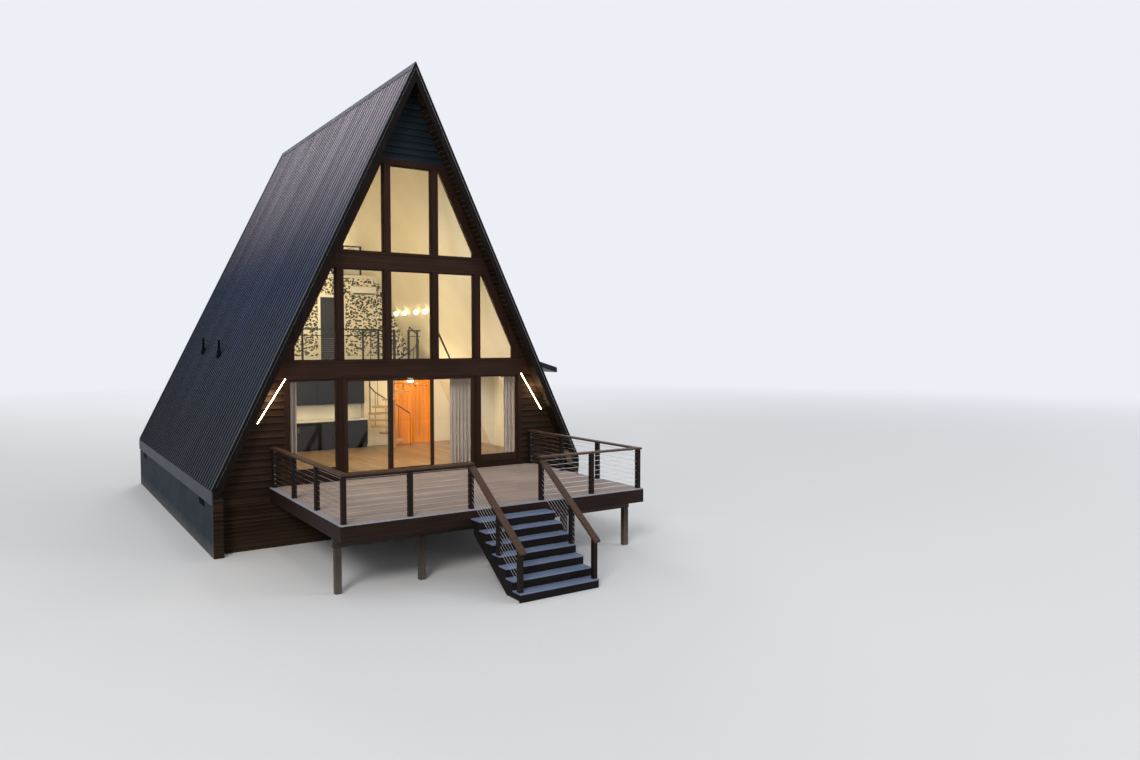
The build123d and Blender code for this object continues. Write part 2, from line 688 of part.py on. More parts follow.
def fixed_panel_starts():
    """Left edges of the two fixed panels, hard against the jambs."""
    clear = DOOR_HALF_WIDTH - DOOR_JAMB
    return -clear, clear - DOOR_PANEL_WIDTH


def fixed_door_glass():
    sill, head = door_levels()
    return [panel_glass(door_panel(x, sill, head, 0)[1], 0) for x in fixed_panel_starts()]


def sliding_door():
    sill, head = door_levels()
    y0 = track_span(0)[0]
    y1 = INNER_FRONT_Y
    x = DOOR_HALF_WIDTH
    jamb = box(x - DOOR_JAMB, x, y0, y1, sill + JOINT_GAP, head - JOINT_GAP)
    top = box(-x, x, y0, y1, head, head + DOOR_JAMB)
    bottom = box(-x, x, y0, y1, FLOOR_HEIGHT, sill)
    track_y = sum(track_span(1)) / 2
    bottom += box(DOOR_JAMB - x, x - DOOR_JAMB, track_y - DOOR_TRACK_WIDTH / 2,
                  track_y + DOOR_TRACK_WIDTH / 2, sill, sill + DOOR_PANEL_CLEARANCE - SEAT_CLEARANCE)
    add("door_frame", jamb, other_side(jamb), top, bottom)
    add("fixed_door_panels", *(door_panel(x0, sill, head, 0)[0] for x0 in fixed_panel_starts()))

    low, high = sill + DOOR_PANEL_CLEARANCE, head - DOOR_PANEL_CLEARANCE
    start = -DOOR_PANEL_WIDTH / 2
    panel, pane = door_panel(start, low, high, 1)
    grip_x = start + DOOR_PANEL_WIDTH - DOOR_STILE / 2
    face = track_span(1)[1]
    grip_z = FLOOR_HEIGHT + HANDLE_HEIGHT
    grip = box(grip_x - HANDLE_WIDTH / 2, grip_x + HANDLE_WIDTH / 2, face, face + HANDLE_DEPTH,
               grip_z - HANDLE_LENGTH / 2, grip_z + HANDLE_LENGTH / 2)
    add("sliding_door_panel", panel + grip)
    add("sliding_door_glass", panel_glass(pane, 1))


# Rooms


def rooms():
    low, high = FLOOR_HEIGHT, FLOOR_HEIGHT + GROUND_CEILING
    core_y = FRONT_Y + CORE_WALL_FROM_FRONT
    kitchen_y = core_y + KITCHEN_WALL_SETBACK
    t = PARTITION_THICKNESS
    reach = HALF_SPAN
    plan = [(-reach, kitchen_y), (CORE_WALL_LEFT_X, kitchen_y), (CORE_WALL_LEFT_X, core_y),
            (reach, core_y), (reach, core_y + t), (CORE_WALL_LEFT_X + t, core_y + t),
            (CORE_WALL_LEFT_X + t, kitchen_y + t), (-reach, kitchen_y + t)]
    wall = plate_xy(plan, low, high) & plate_xz(between_linings(low, high), core_y, kitchen_y + t)
    add("ground_partition", wall)
    right = slope_x(high, LINING_BOTTOM) - WOOD_WALL_CLEARANCE
    add("wood_wall_boards",
        box(WOOD_WALL_START_X, right, core_y - WOOD_WALL_THICKNESS, core_y, low, high))

    top = UPPER_HEIGHT - UPPER_FLOOR_THICKNESS
    y0, y1 = UPPER_EDGE_Y, UPPER_EDGE_Y + t
    x0, x1 = LOFT_DOOR_X
    door_top = LOFT_HEIGHT + LOFT_DOOR_HEIGHT
    partition = plate_xz(between_linings(LOFT_HEIGHT, top), y0, y1)
    partition -= box(x0, x1, y0 - 1, y1 + 1, LOFT_HEIGHT - 1, door_top)
    add("loft_partition", partition)
    face = y0 + LOFT_DOOR_RECESS
    add("loft_door", box(x0, x1, face, face + LOFT_DOOR_THICKNESS, LOFT_HEIGHT, door_top))


def kitchen_units():
    """Base units under a worktop and wall units above, along the back of the living room."""
    back = FRONT_Y + CORE_WALL_FROM_FRONT + KITCHEN_WALL_SETBACK
    wall_top = FLOOR_HEIGHT + WALL_UNIT_BOTTOM + WALL_UNIT_HEIGHT
    x0 = KITCHEN_START - slope_x(wall_top, LINING_BOTTOM)
    x1 = CORE_WALL_LEFT_X
    top = FLOOR_HEIGHT + WORKTOP_HEIGHT
    kick_depth, kick_height = TOE_KICK
    front = back - BASE_UNIT_DEPTH
    side = [(back, FLOOR_HEIGHT), (front + kick_depth, FLOOR_HEIGHT),
            (front + kick_depth, FLOOR_HEIGHT + kick_height), (front, FLOOR_HEIGHT + kick_height),
            (front, top - WORKTOP_THICKNESS), (back - WORKTOP_DEPTH, top - WORKTOP_THICKNESS),
            (back - WORKTOP_DEPTH, top), (back, top)]
    base = plate_yz(side, x0, x1)
    wall = box(x0, x1, back - WALL_UNIT_DEPTH, back, FLOOR_HEIGHT + WALL_UNIT_BOTTOM, wall_top)
    add("kitchen_units", base, wall)


def air_unit():
    """A white indoor air unit high on the loft partition."""
    low = LOFT_HEIGHT + AIR_UNIT_BOTTOM
    x1 = slope_x(low + AIR_UNIT_HEIGHT, LINING_BOTTOM) - AIR_UNIT_FROM_LINING
    x0 = x1 - AIR_UNIT_WIDTH
    body = box(x0, x1, UPPER_EDGE_Y - AIR_UNIT_DEPTH, UPPER_EDGE_Y, low, low + AIR_UNIT_HEIGHT)
    front_edges = body.edges().filter_by(Axis.X).group_by(Axis.Y)[0]
    add("air_unit", fillet(front_edges, AIR_UNIT_ROUNDING))


def guard_run(x0, x1, posts, z):
    """Rails, posts and short upright bars of an inside guard, drawn along X at y = 0.

    A run without posts of its own has one thin stay in the middle, down to the floor.
    """
    half = LOFT_GUARD_POST / 2
    thin = LOFT_BAR_SIZE / 2
    top = z + LOFT_GUARD_HEIGHT
    rail_low = top - LOFT_RAIL_HEIGHT
    mid = top - LOFT_MIDRAIL_DROP
    run = box(x0, x1, -half, half, rail_low, top)
    run += box(x0, x1, -thin, thin, mid - LOFT_FOOT_RAIL_HEIGHT, mid)
    run += box(x0, x1, -thin, thin, z, z + LOFT_FOOT_RAIL_HEIGHT)
    for x in posts:
        run += box(x - half, x + half, -half, half, z, top)
    if not posts:
        middle = (x0 + x1) / 2
        run += box(middle - thin, middle + thin, -thin, thin, z, rail_low)
    stops = sorted(set([x0, x1] + posts))
    for a, b in zip(stops, stops[1:]):
        count = round((b - a) / LOFT_BALUSTER_SPACING)
        for x in spread(a, b, max(1, count))[1:-1]:
            run += box(x - BALUSTER_SIZE / 2, x + BALUSTER_SIZE / 2, -thin, thin, mid, rail_low)
    return run


def inside_guards():
    """Guards of the loft's front edge, of the stairwell's two sides and of the upper floor."""
    half = LOFT_GUARD_POST / 2
    z = LOFT_HEIGHT
    room = slope_x(z + LOFT_GUARD_HEIGHT, LINING_BOTTOM)
    front_y, rear_y = LOFT_EDGE_Y + half, STAIRWELL_BACK_Y + half
    corner = STAIRWELL_LEFT_X - half
    left_exit, right_exit = EXIT_POSTS_X
    front = guard_run(-room, corner, [half - room, LOFT_MIDDLE_POST_X, corner], z)
    side_length = rear_y - front_y - 2 * half - 2 * JOINT_GAP
    side = Pos(corner, front_y + half + JOINT_GAP, 0) * Rot(0, 0, 90) * guard_run(
        0, side_length, [], z)
    rear_left = guard_run(corner, left_exit, [corner, left_exit], z)
    rear_right = guard_run(right_exit, room, [right_exit, LAST_GUARD_POST_X], z)
    z = UPPER_HEIGHT
    room = slope_x(z + LOFT_GUARD_HEIGHT, LINING_BOTTOM)
    upper = guard_run(-room, room, [half - room, room - half], z)
    add("inside_guards", Pos(0, front_y, 0) * front, side, Pos(0, rear_y, 0) * rear_left,
        Pos(0, rear_y, 0) * rear_right, Pos(0, UPPER_EDGE_Y + half, 0) * upper)


def spiral_point(angle, radius, z):
    a = math.radians(angle)
    return (SPIRAL_X + radius * math.cos(a),
            FRONT_Y + SPIRAL_FROM_FRONT + radius * math.sin(a), z)


def spiral_stair():
    """Treads that wind up counter-clockwise round the pole, one baluster on each."""
    rise = (LOFT_HEIGHT - FLOOR_HEIGHT) / SPIRAL_RISERS
    y = FRONT_Y + SPIRAL_FROM_FRONT
    pole_top = LOFT_HEIGHT + LOFT_GUARD_HEIGHT
    align = (Align.CENTER, Align.CENTER, Align.MIN)
    pole = Pos(SPIRAL_X, y, FLOOR_HEIGHT) * Cylinder(SPIRAL_POLE_RADIUS, pole_top - FLOOR_HEIGHT,
                                                     align=align)
    add("spiral_stair_pole", pole)
    treads, rails, joints = [], [], []
    half = SPIRAL_TREAD_ANGLE / 2
    post_radius = SPIRAL_RADIUS - SPIRAL_BALUSTER_INSET
    for step in range(SPIRAL_RISERS + 1):
        angle = SPIRAL_START_ANGLE + SPIRAL_STEP_ANGLE * step
        top = FLOOR_HEIGHT + rise * step
        if 0 < step < SPIRAL_RISERS:
            low = top - SPIRAL_TREAD_THICKNESS
            corners = [spiral_point(angle, 0, 0), spiral_point(angle - half, 2 * SPIRAL_RADIUS, 0),
                       spiral_point(angle + half, 2 * SPIRAL_RADIUS, 0)]
            disc = Pos(SPIRAL_X, y, low) * Cylinder(SPIRAL_RADIUS, SPIRAL_TREAD_THICKNESS,
                                                    align=align)
            treads.append((disc & plate_xy([c[:2] for c in corners], low, top)) - pole)
        foot = spiral_point(angle, post_radius, top)
        rails.append(Pos(*foot) * Cylinder(BALUSTER_SIZE / 2, SPIRAL_RAIL_HEIGHT, align=align))
        joints.append((foot[0], foot[1], top + SPIRAL_RAIL_HEIGHT + SPIRAL_RAIL_SIZE / 2))
    joints.append((EXIT_POSTS_X[1], STAIRWELL_BACK_Y - SPIRAL_RAIL_FROM_POST,
                   LOFT_HEIGHT + LOFT_GUARD_HEIGHT - SPIRAL_RAIL_SIZE / 2))
    for start, end in zip(joints, joints[1:]):
        rails.append(spiral_rail_piece(start, end))

    start, end = LANDING_ANGLES
    corner = spiral_point(start, SPIRAL_RADIUS, 0)
    back_left = SPIRAL_X + (STAIRWELL_BACK_Y - y) / math.tan(math.radians(end))
    plan = [(SPIRAL_X, y), corner[:2], (corner[0], STAIRWELL_BACK_Y), (back_left, STAIRWELL_BACK_Y)]
    landing = plate_xy(plan, LOFT_HEIGHT - SPIRAL_TREAD_THICKNESS, LOFT_HEIGHT)
    treads.append(landing - pole)
    add("spiral_stair_treads", *treads)
    add("spiral_stair_rail", *rails)


def spiral_rail_piece(start, end):
    """One straight length of handrail, short of its neighbours by the joint gap."""
    step = [b - a for a, b in zip(start, end)]
    length = math.sqrt(sum(s * s for s in step))
    unit = [s / length for s in step]
    plane = Plane(origin=tuple(a + u * JOINT_GAP for a, u in zip(start, unit)), z_dir=tuple(unit))
    profile = plane * RegularPolygon(radius=SPIRAL_RAIL_SIZE / 2, side_count=8)
    return extrude(profile, amount=length - 2 * JOINT_GAP, dir=tuple(unit))


# Dormer


def dormer():
    front, back = dormer_span()
    x_wall = SIDE_WALL_X
    under = DORMER_ROOF_THICKNESS

    def cheek(y0, y1):
        x_head = dormer_head_x(SLAB_TOP)
        points = [(x_head, dormer_roof_top(x_head) - under), (x_wall, slope_z(x_wall, SLAB_TOP)),
                  (x_wall, dormer_roof_top(x_wall) - under)]
        return plate_xz(points, y0, y1)

    x_in = x_wall - DORMER_WALL
    wall = plate_xz([(x_in, SIDE_WALL_TOP), (x_wall, SIDE_WALL_TOP),
                     (x_wall, dormer_roof_top(x_wall) - under),
                     (x_in, dormer_roof_top(x_in) - under)],
                    front + DORMER_WALL, back - DORMER_WALL)
    width, height = DORMER_WINDOW
    middle = (front + back) / 2
    sill = FLOOR_HEIGHT + DORMER_WINDOW_SILL
    hole = box(x_in - 1, x_wall + 1, middle - width / 2, middle + width / 2, sill, sill + height)
    add("dormer_walls", wall - hole, cheek(front, front + DORMER_WALL),
        cheek(back - DORMER_WALL, back))
    x_glass = (x_in + x_wall) / 2
    add("dormer_glass", box(x_glass - GLASS_THICKNESS / 2, x_glass + GLASS_THICKNESS / 2,
                            middle - width / 2, middle + width / 2, sill, sill + height))

    roof = plate_xz(dormer_roof_outline(SLAB_TOP), front, back)
    verge = dormer_roof_outline(FLASHING_THICKNESS)
    roof += plate_xz(verge, front - DORMER_ROOF_OVERHANG, front)
    roof += plate_xz(verge, back, back + DORMER_ROOF_OVERHANG)
    add("dormer_roof", roof)


def dormer_roof_outline(depth):
    """The dormer's roof from its eave up to a layer of the main slope."""
    low, high = dormer_head_x(depth), dormer_ridge_x(depth)
    under = DORMER_ROOF_THICKNESS
    return [(low, dormer_roof_top(low) - under),
            (DORMER_EAVE_X, DORMER_EAVE_HEIGHT - under), (DORMER_EAVE_X, DORMER_EAVE_HEIGHT),
            (high, dormer_roof_top(high))]


def dormer_ridge_x(depth):
    """Where the dormer's roof surface meets a layer of the main slope."""
    return (slope_z(0, depth) - dormer_roof_top(0)) / (TANGENT - DORMER_SLOPE)


# Deck


def deck():
    x, y0, y1 = DECK_HALF_WIDTH, DECK_FRONT_Y, FRONT_Y
    t = BOARD_THICKNESS
    add("deck_boards", box(-x, x, y0, y1, DECK_UNDER, FLOOR_HEIGHT))
    low = DECK_UNDER - DECK_FASCIA_HEIGHT
    side = box(x - t, x, y0 + t + JOINT_GAP, y1, low, DECK_UNDER)
    add("deck_fascia", box(-x, x, y0, y0 + t, low, DECK_UNDER), side, other_side(side))

    joist_low = DECK_UNDER - JOIST_HEIGHT
    rim_front = y0 + t
    ledger = box(-x + t, x - t, y1 - JOIST_WIDTH, y1, joist_low, DECK_UNDER)
    rim = box(-x + t, x - t, rim_front, rim_front + JOIST_WIDTH, joist_low, DECK_UNDER)
    pieces = [ledger, rim]
    inner0, inner1 = rim_front + JOIST_WIDTH + JOINT_GAP, y1 - JOIST_WIDTH - JOINT_GAP
    edge = x - t - JOIST_WIDTH / 2
    count = math.ceil(2 * edge / JOIST_SPACING)
    for i in range(count + 1):
        centre = -edge + 2 * edge * i / count
        pieces.append(box(centre - JOIST_WIDTH / 2, centre + JOIST_WIDTH / 2, inner0, inner1,
                          joist_low, DECK_UNDER))
    add("deck_joists", *pieces)
    beam_y = y0 + BEAM_FROM_FRONT
    beam_low = joist_low - BEAM_HEIGHT
    add("deck_beam", box(-x + t, x - t, beam_y - BEAM_WIDTH / 2, beam_y + BEAM_WIDTH / 2,
                         beam_low, joist_low))
    half = DECK_POST_SIZE / 2
    add("deck_posts", *(box(i * DECK_POST_SPACING - half, i * DECK_POST_SPACING + half,
                            beam_y - half, beam_y + half, 0, beam_low) for i in range(-2, 3)))


def spread(start, end, bays):
    """Positions of the posts of some equal bays."""
    return [start + (end - start) * i / bays for i in range(bays + 1)]


def stair_rail_top(y):
    """Height of the top of the stair's handrail."""
    lowest_nosing = DECK_FRONT_Y - FIRST_TREAD_EXTRA - RUN * (RISER_COUNT - 1)
    return RISE + (y - lowest_nosing) * STAIR_PITCH + STAIR_RAIL_ABOVE_NOSING


def guard_lines():
    """Post positions along the left edge and the left half of the front edge."""
    half = GUARD_POST_SIZE / 2
    edge_x = DECK_HALF_WIDTH - GUARD_INSET
    edge_y = DECK_FRONT_Y + GUARD_INSET
    side = spread(FRONT_Y - half - BELT_PROJECTION, edge_y, 3)
    front = spread(edge_x, STAIR_RAIL_X, 2)
    return edge_x, edge_y, side, front


def newel_positions():
    for tread in NEWEL_STEP_COUNTS:
        nosing = DECK_FRONT_Y - FIRST_TREAD_EXTRA - RUN * tread
        yield nosing + NEWEL_FROM_NOSING, FLOOR_HEIGHT - RISE * tread


def railing():
    edge_x, edge_y, side, front = guard_lines()
    half = GUARD_POST_SIZE / 2
    rail_top = FLOOR_HEIGHT + RAIL_HEIGHT
    rail_low = rail_top - RAIL_THICKNESS

    def post(x, y):
        return box(x - half, x + half, y - half, y + half, FLOOR_HEIGHT, rail_low)

    right = [post(edge_x, y) for y in side] + [post(x, edge_y) for x in front[1:]]
    plumb = RAIL_THICKNESS * math.sqrt(1 + STAIR_PITCH ** 2)
    for y, z in newel_positions():
        top0, top1 = (stair_rail_top(v) - plumb for v in (y - half, y + half))
        points = [(y - half, z), (y + half, z), (y + half, top1), (y - half, top0)]
        right.append(plate_yz(points, STAIR_RAIL_X - half, STAIR_RAIL_X + half))
    add("railing_posts", *(right + [other_side(p) for p in right]))

    w = RAIL_WIDTH / 2
    along = box(edge_x - w, edge_x + w, edge_y - w, FRONT_Y, rail_low, rail_top)
    across = box(STAIR_RAIL_X - half, edge_x - w - JOINT_GAP, edge_y - w, edge_y + w,
                 rail_low, rail_top)
    y_top = edge_y - half
    y_end = list(newel_positions())[-1][0] - half - STAIR_RAIL_END
    slope = [(y_end, stair_rail_top(y_end) - plumb), (y_top, stair_rail_top(y_top) - plumb),
             (y_top, stair_rail_top(y_top)), (y_end, stair_rail_top(y_end))]
    stair = plate_yz(slope, STAIR_RAIL_X - w, STAIR_RAIL_X + w)
    rails = [along, across, stair]
    add("railing_caps", *(rails + [other_side(r) for r in rails]))

    heights = [FLOOR_HEIGHT + FIRST_CABLE_HEIGHT + CABLE_SPACING * i for i in range(CABLE_COUNT)]
    side_cables = [bar((edge_x, a - half, z), (edge_x, b + half, z), CABLE_DIAMETER)
                   for a, b in zip(side, side[1:]) for z in heights]
    front_cables = [bar((a - half, edge_y, z), (b + half, edge_y, z), CABLE_DIAMETER)
                    for a, b in zip(front, front[1:]) for z in heights]
    deck_cables = side_cables + front_cables
    add("deck_cables", *(deck_cables + [other_side(c) for c in deck_cables]))

    stops = [edge_y] + [y for y, z in newel_positions()]
    stair_cables = []
    for a, b in zip(stops, stops[1:]):
        for i in range(1, STAIR_CABLE_COUNT + 1):
            drop = plumb + STAIR_CABLE_SPACING * i
            y_a, y_b = a - half, b + half
            stair_cables.append(bar((STAIR_RAIL_X, y_a, stair_rail_top(y_a) - drop),
                                    (STAIR_RAIL_X, y_b, stair_rail_top(y_b) - drop),
                                    CABLE_DIAMETER))
    add("stair_cables", *(stair_cables + [other_side(c) for c in stair_cables]))


def front_stair():
    x = STAIR_HALF_WIDTH
    treads, risers, saw = [], [], []
    for step in range(1, RISER_COUNT):
        nosing = DECK_FRONT_Y - FIRST_TREAD_EXTRA - RUN * step
        top = FLOOR_HEIGHT - RISE * step
        behind = nosing + NOSING
        back = behind + RUN if step > 1 else DECK_FRONT_Y
        treads.append(box(-x, x, nosing, back, top - TREAD_THICKNESS, top))
        foot = top - RISE
        risers.append(box(-x, x, behind, behind + RISER_THICKNESS, foot, top - TREAD_THICKNESS))
        notch_low = max(0, foot - TREAD_THICKNESS)
        back_of_riser = behind + RISER_THICKNESS
        saw = [(back_of_riser, notch_low), (back_of_riser, top - TREAD_THICKNESS)] + saw
    top_z = saw[-1][1]
    low_z = top_z - STRINGER_DEPTH
    points = saw + [(DECK_FRONT_Y, top_z), (DECK_FRONT_Y, low_z),
                    (DECK_FRONT_Y - low_z / STAIR_PITCH, 0)]
    half = STRINGER_WIDTH / 2
    add("stair_treads", *treads)
    add("stair_risers", *risers)
    add("stair_stringers", *(plate_yz(points, c - half, c + half)
                             for c in (-STRINGER_X, 0, STRINGER_X)))


def build():
    foundation()
    floors()
    roof_slabs()
    roof_metal()
    roof_edges()
    roof_vents()
    gables()
    sliding_door()
    rooms()
    kitchen_units()
    air_unit()
    inside_guards()
    spiral_stair()
    dormer()
    deck()
    railing()
    front_stair()


build()
os.makedirs("parts", exist_ok=True)
for name, shape in NODES.items():
    export_step(shape, f"parts/{name}.step")
    print(name, len(shape.solids()))
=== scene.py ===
"""Finishes and fine pieces of the A-frame cabin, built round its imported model, in metres."""

import math
import random

import bmesh
import bpy
from mathutils import Matrix, Vector
from mathutils.geometry import convex_hull_2d


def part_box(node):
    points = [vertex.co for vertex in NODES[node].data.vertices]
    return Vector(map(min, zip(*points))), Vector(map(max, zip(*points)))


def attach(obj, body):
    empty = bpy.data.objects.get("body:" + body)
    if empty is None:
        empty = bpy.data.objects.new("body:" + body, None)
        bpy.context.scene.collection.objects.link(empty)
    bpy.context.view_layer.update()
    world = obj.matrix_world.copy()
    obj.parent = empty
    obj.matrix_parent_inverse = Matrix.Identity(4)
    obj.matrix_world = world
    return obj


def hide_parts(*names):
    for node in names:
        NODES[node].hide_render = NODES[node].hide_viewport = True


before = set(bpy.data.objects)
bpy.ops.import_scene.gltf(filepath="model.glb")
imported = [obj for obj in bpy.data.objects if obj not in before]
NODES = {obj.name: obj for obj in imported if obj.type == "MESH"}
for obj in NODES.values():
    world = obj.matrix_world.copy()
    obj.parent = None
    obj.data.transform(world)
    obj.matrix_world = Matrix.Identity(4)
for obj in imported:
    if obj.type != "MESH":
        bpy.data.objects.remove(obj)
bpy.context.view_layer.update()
SHUFFLE = random.Random(11)

# Roof geometry, the same as in the construction model
HALF_SPAN = 4.778
EAVE_Z = 1.465
RIDGE_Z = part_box("roof_flashings")[1].z
PITCH = math.atan2(RIDGE_Z - EAVE_Z, HALF_SPAN)
SIN, COS, TAN = math.sin(PITCH), math.cos(PITCH), math.tan(PITCH)
SLOPE_LENGTH = HALF_SPAN / COS
PAN_DEPTH = 0.025
SOFFIT_DEPTH = 0.206
OVERHANG_DEPTH = 0.188
LINING_DEPTH = 0.270

# Levels and planes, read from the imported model
RAKE_FRONT_Y, RAKE_BACK_Y = (corner.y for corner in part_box("roof_flashings"))
SHEET_FRONT_Y, SHEET_BACK_Y = (corner.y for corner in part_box("roof_metal_left"))
FRONT_Y, INNER_FRONT_Y = (corner.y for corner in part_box("front_wall_upper"))
INNER_BACK_Y, BACK_Y = (corner.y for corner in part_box("back_wall"))
FLOOR_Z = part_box("ground_floor")[1].z
LOFT_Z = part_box("loft_floor")[1].z
UPPER_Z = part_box("upper_floor")[1].z
DORMER_LOW, DORMER_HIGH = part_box("dormer_walls")

# How far down the slope the dormer's roof meets it
DORMER_REACH = (RIDGE_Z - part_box("dormer_roof")[1].z) / SIN

# Edges sharper than these stay sharp, or are eased with a bevel
SMOOTH_ANGLE, EASED_ANGLE = math.radians(40), math.radians(35)


# Geometry helpers


def slope_x(z, depth):
    """Half width of the house at a height, some depth inside the roof's outer face."""
    return (RIDGE_Z - z) / TAN - depth / SIN


def slope_point(along, depth, y, side):
    """A point some way down the slope from the ridge, side +1 right and -1 left."""
    return Vector((side * (along * COS - depth * SIN), y, RIDGE_Z - along * SIN - depth * COS))


def new_mesh(*more):
    """A working mesh whose faces carry their board's tone, and more values by name."""
    bm = bmesh.new()
    for value in ("board_tone", *more):
        bm.faces.layers.float.new(value)
    return bm


def toned(bm, faces):
    """Gives the faces of one board the same random tone."""
    layer = bm.faces.layers.float["board_tone"]
    tone = SHUFFLE.uniform(-1, 1)
    for face in faces:
        face[layer] = tone
    return faces


def prism(bm, bottom, top):
    """A closed solid between two outlines of as many points."""
    low = [bm.verts.new(p) for p in bottom]
    high = [bm.verts.new(p) for p in top]
    faces = [bm.faces.new(low[::-1]), bm.faces.new(high)]
    count = len(low)
    for i in range(count):
        j = (i + 1) % count
        faces.append(bm.faces.new((low[i], low[j], high[j], high[i])))
    return toned(bm, faces)


def plate(bm, outline, y0, y1):
    """An outline in X and Z made solid from y0 to y1."""
    return prism(bm, [(x, y0, z) for x, z in outline], [(x, y1, z) for x, z in outline])


def slab(bm, outline, z0, z1):
    """An outline in X and Y made solid from z0 to z1."""
    return prism(bm, [(x, y, z0) for x, y in outline], [(x, y, z1) for x, y in outline])


def board(bm, lo, hi):
    """A straight board between two corners."""
    return slab(bm, rectangle(lo[0], hi[0], lo[1], hi[1]), lo[2], hi[2])


def rectangle(x0, x1, z0, z1):
    return [(x0, z0), (x1, z0), (x1, z1), (x0, z1)]


def turned(bm, profile, place, sides=24):
    """A form turned about its own Z axis from (radius, height) points, set by a matrix."""
    angles = [2 * math.pi * k / sides for k in range(sides)]
    rings = [[bm.verts.new(place @ Vector((radius * math.cos(a), radius * math.sin(a), height)))
              for a in angles] for radius, height in profile]
    faces = []
    for lower, upper in zip(rings, rings[1:]):
        for k in range(sides):
            j = (k + 1) % sides
            faces.append(bm.faces.new((lower[k], lower[j], upper[j], upper[k])))
    faces += [bm.faces.new(rings[0][::-1]), bm.faces.new(rings[-1])]
    return toned(bm, faces)


def along(start, end):
    """A matrix whose Z axis runs from start towards end."""
    direction = Vector(end) - Vector(start)
    return Matrix.Translation(start) @ direction.to_track_quat("Z", "Y").to_matrix().to_4x4()


def rod(bm, start, end, radius, sides=12):
    length = (Vector(end) - Vector(start)).length
    return turned(bm, [(radius, 0), (radius, length)], along(start, end), sides)


def solids_of(node):
    """The corner points of each separate solid of a CAD node."""
    bm = bmesh.new()
    bm.from_mesh(NODES[node].data)
    bmesh.ops.remove_doubles(bm, verts=bm.verts, dist=1e-5)
    seen, groups = set(), []
    for vert in bm.verts:
        if vert in seen:
            continue
        group, queue = [], [vert]
        seen.add(vert)
        while queue:
            v = queue.pop()
            group.append(v.co.copy())
            for edge in v.link_edges:
                other = edge.other_vert(v)
                if other not in seen:
                    seen.add(other)
                    queue.append(other)
        groups.append(group)
    bm.free()
    return groups


def extent(points, axis):
    values = [p[axis] for p in points]
    return min(values), max(values)


def spans(points):
    """The least and greatest X, Y and Z of some points."""
    return [extent(points, axis) for axis in range(3)]


def face_outline(points):
    """The outline of a solid seen from the front, in X and Z."""
    flat = [Vector((p.x, p.z)) for p in points]
    return [tuple(flat[i]) for i in convex_hull_2d(flat)]


def width_at(outline, z):
    """Left and right of an outline at a height."""
    xs = []
    for (ax, az), (bx, bz) in zip(outline, outline[1:] + outline[:1]):
        if abs(az - bz) > 1e-6 and min(az, bz) - 1e-6 <= z <= max(az, bz) + 1e-6:
            xs.append(ax + (bx - ax) * (z - az) / (bz - az))
    return min(xs), max(xs)


def new_object(name, data):
    obj = bpy.data.objects.new(name, data)
    bpy.context.scene.collection.objects.link(obj)
    return obj


def soften(obj, bevel, smooth):
    """Smooths what is round and eases sharp edges, as on worked timber and folded metal."""
    if smooth:
        obj.data.shade_smooth()
        obj.data.set_sharp_from_angle(angle=SMOOTH_ANGLE)
    if bevel:
        modifier = obj.modifiers.new("eased_edges", "BEVEL")
        modifier.width = bevel
        modifier.segments = 2
        modifier.limit_method = "ANGLE"
        modifier.angle_limit = EASED_ANGLE


def piece(name, bm, material, stands_for=(), bevel=0.0, smooth=False):
    """Turns a working mesh into a finished piece that rides on the cabin."""
    bmesh.ops.recalc_face_normals(bm, faces=bm.faces)
    mesh = bpy.data.meshes.new(name)
    bm.to_mesh(mesh)
    bm.free()
    mesh.materials.append(material)
    obj = new_object(name, mesh)
    soften(obj, bevel, smooth)
    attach(obj, "cabin")
    if stands_for:
        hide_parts(*stands_for)
    return obj


def dress(rows, smooth=False):
    """Finishes CAD nodes from rows of material, edge bevel and node names."""
    for material, bevel, names in rows:
        for name in names.split():
            obj = NODES[name]
            obj.data.materials.clear()
            obj.data.materials.append(material)
            soften(obj, bevel, smooth)


# Effects shared by several finishes


NOISE_RANGE = (0.3, 0.7)
GRAIN_RANGE = (0.32, 0.68)
STREAK_RANGE = (0.35, 0.7)


def set_sockets(tree, node, **sockets):
    """Sets inputs by name, or by number as i0, i1; another node's output is linked."""
    for key, value in sockets.items():
        numbered = key[0] == "i" and key[1:].isdigit()
        socket = node.inputs[int(key[1:]) if numbered else key.replace("_", " ")]
        if isinstance(value, bpy.types.NodeSocket):
            tree.links.new(value, socket)
        else:
            socket.default_value = value
    return node


def add_node(tree, kind, settings=None, **sockets):
    """A node with its properties and inputs set."""
    node = tree.nodes.new("ShaderNode" + kind)
    for key, value in (settings or {}).items():
        setattr(node, key, value)
    return set_sockets(tree, node, **sockets)


def maths(tree, operation, a, b=0.0, c=0.0, clamp=False):
    settings = {"operation": operation, "use_clamp": clamp}
    return add_node(tree, "Math", settings, i0=a, i1=b, i2=c).outputs[0]


def vector_maths(tree, operation, a, b, **more):
    return add_node(tree, "VectorMath", {"operation": operation}, i0=a, i1=b, **more).outputs[0]


def xyz(tree, vector):
    return add_node(tree, "SeparateXYZ", Vector=vector).outputs


def attribute(tree, name):
    return add_node(tree, "Attribute", {"attribute_name": name}).outputs["Fac"]


def noise(tree, place, scale, detail, roughness=0.5, **more):
    return add_node(tree, "TexNoise", Vector=place, Scale=scale, Detail=detail,
                    Roughness=roughness, **more).outputs[0]


def blend_colour(tree, factor, a, b):
    """A blend of two colours, each an output or three numbers."""
    a, b = (v if isinstance(v, bpy.types.NodeSocket) else (*v, 1) for v in (a, b))
    settings = {"data_type": "RGBA", "blend_type": "MIX"}
    return add_node(tree, "Mix", settings, i0=factor, i6=a, i7=b).outputs[2]


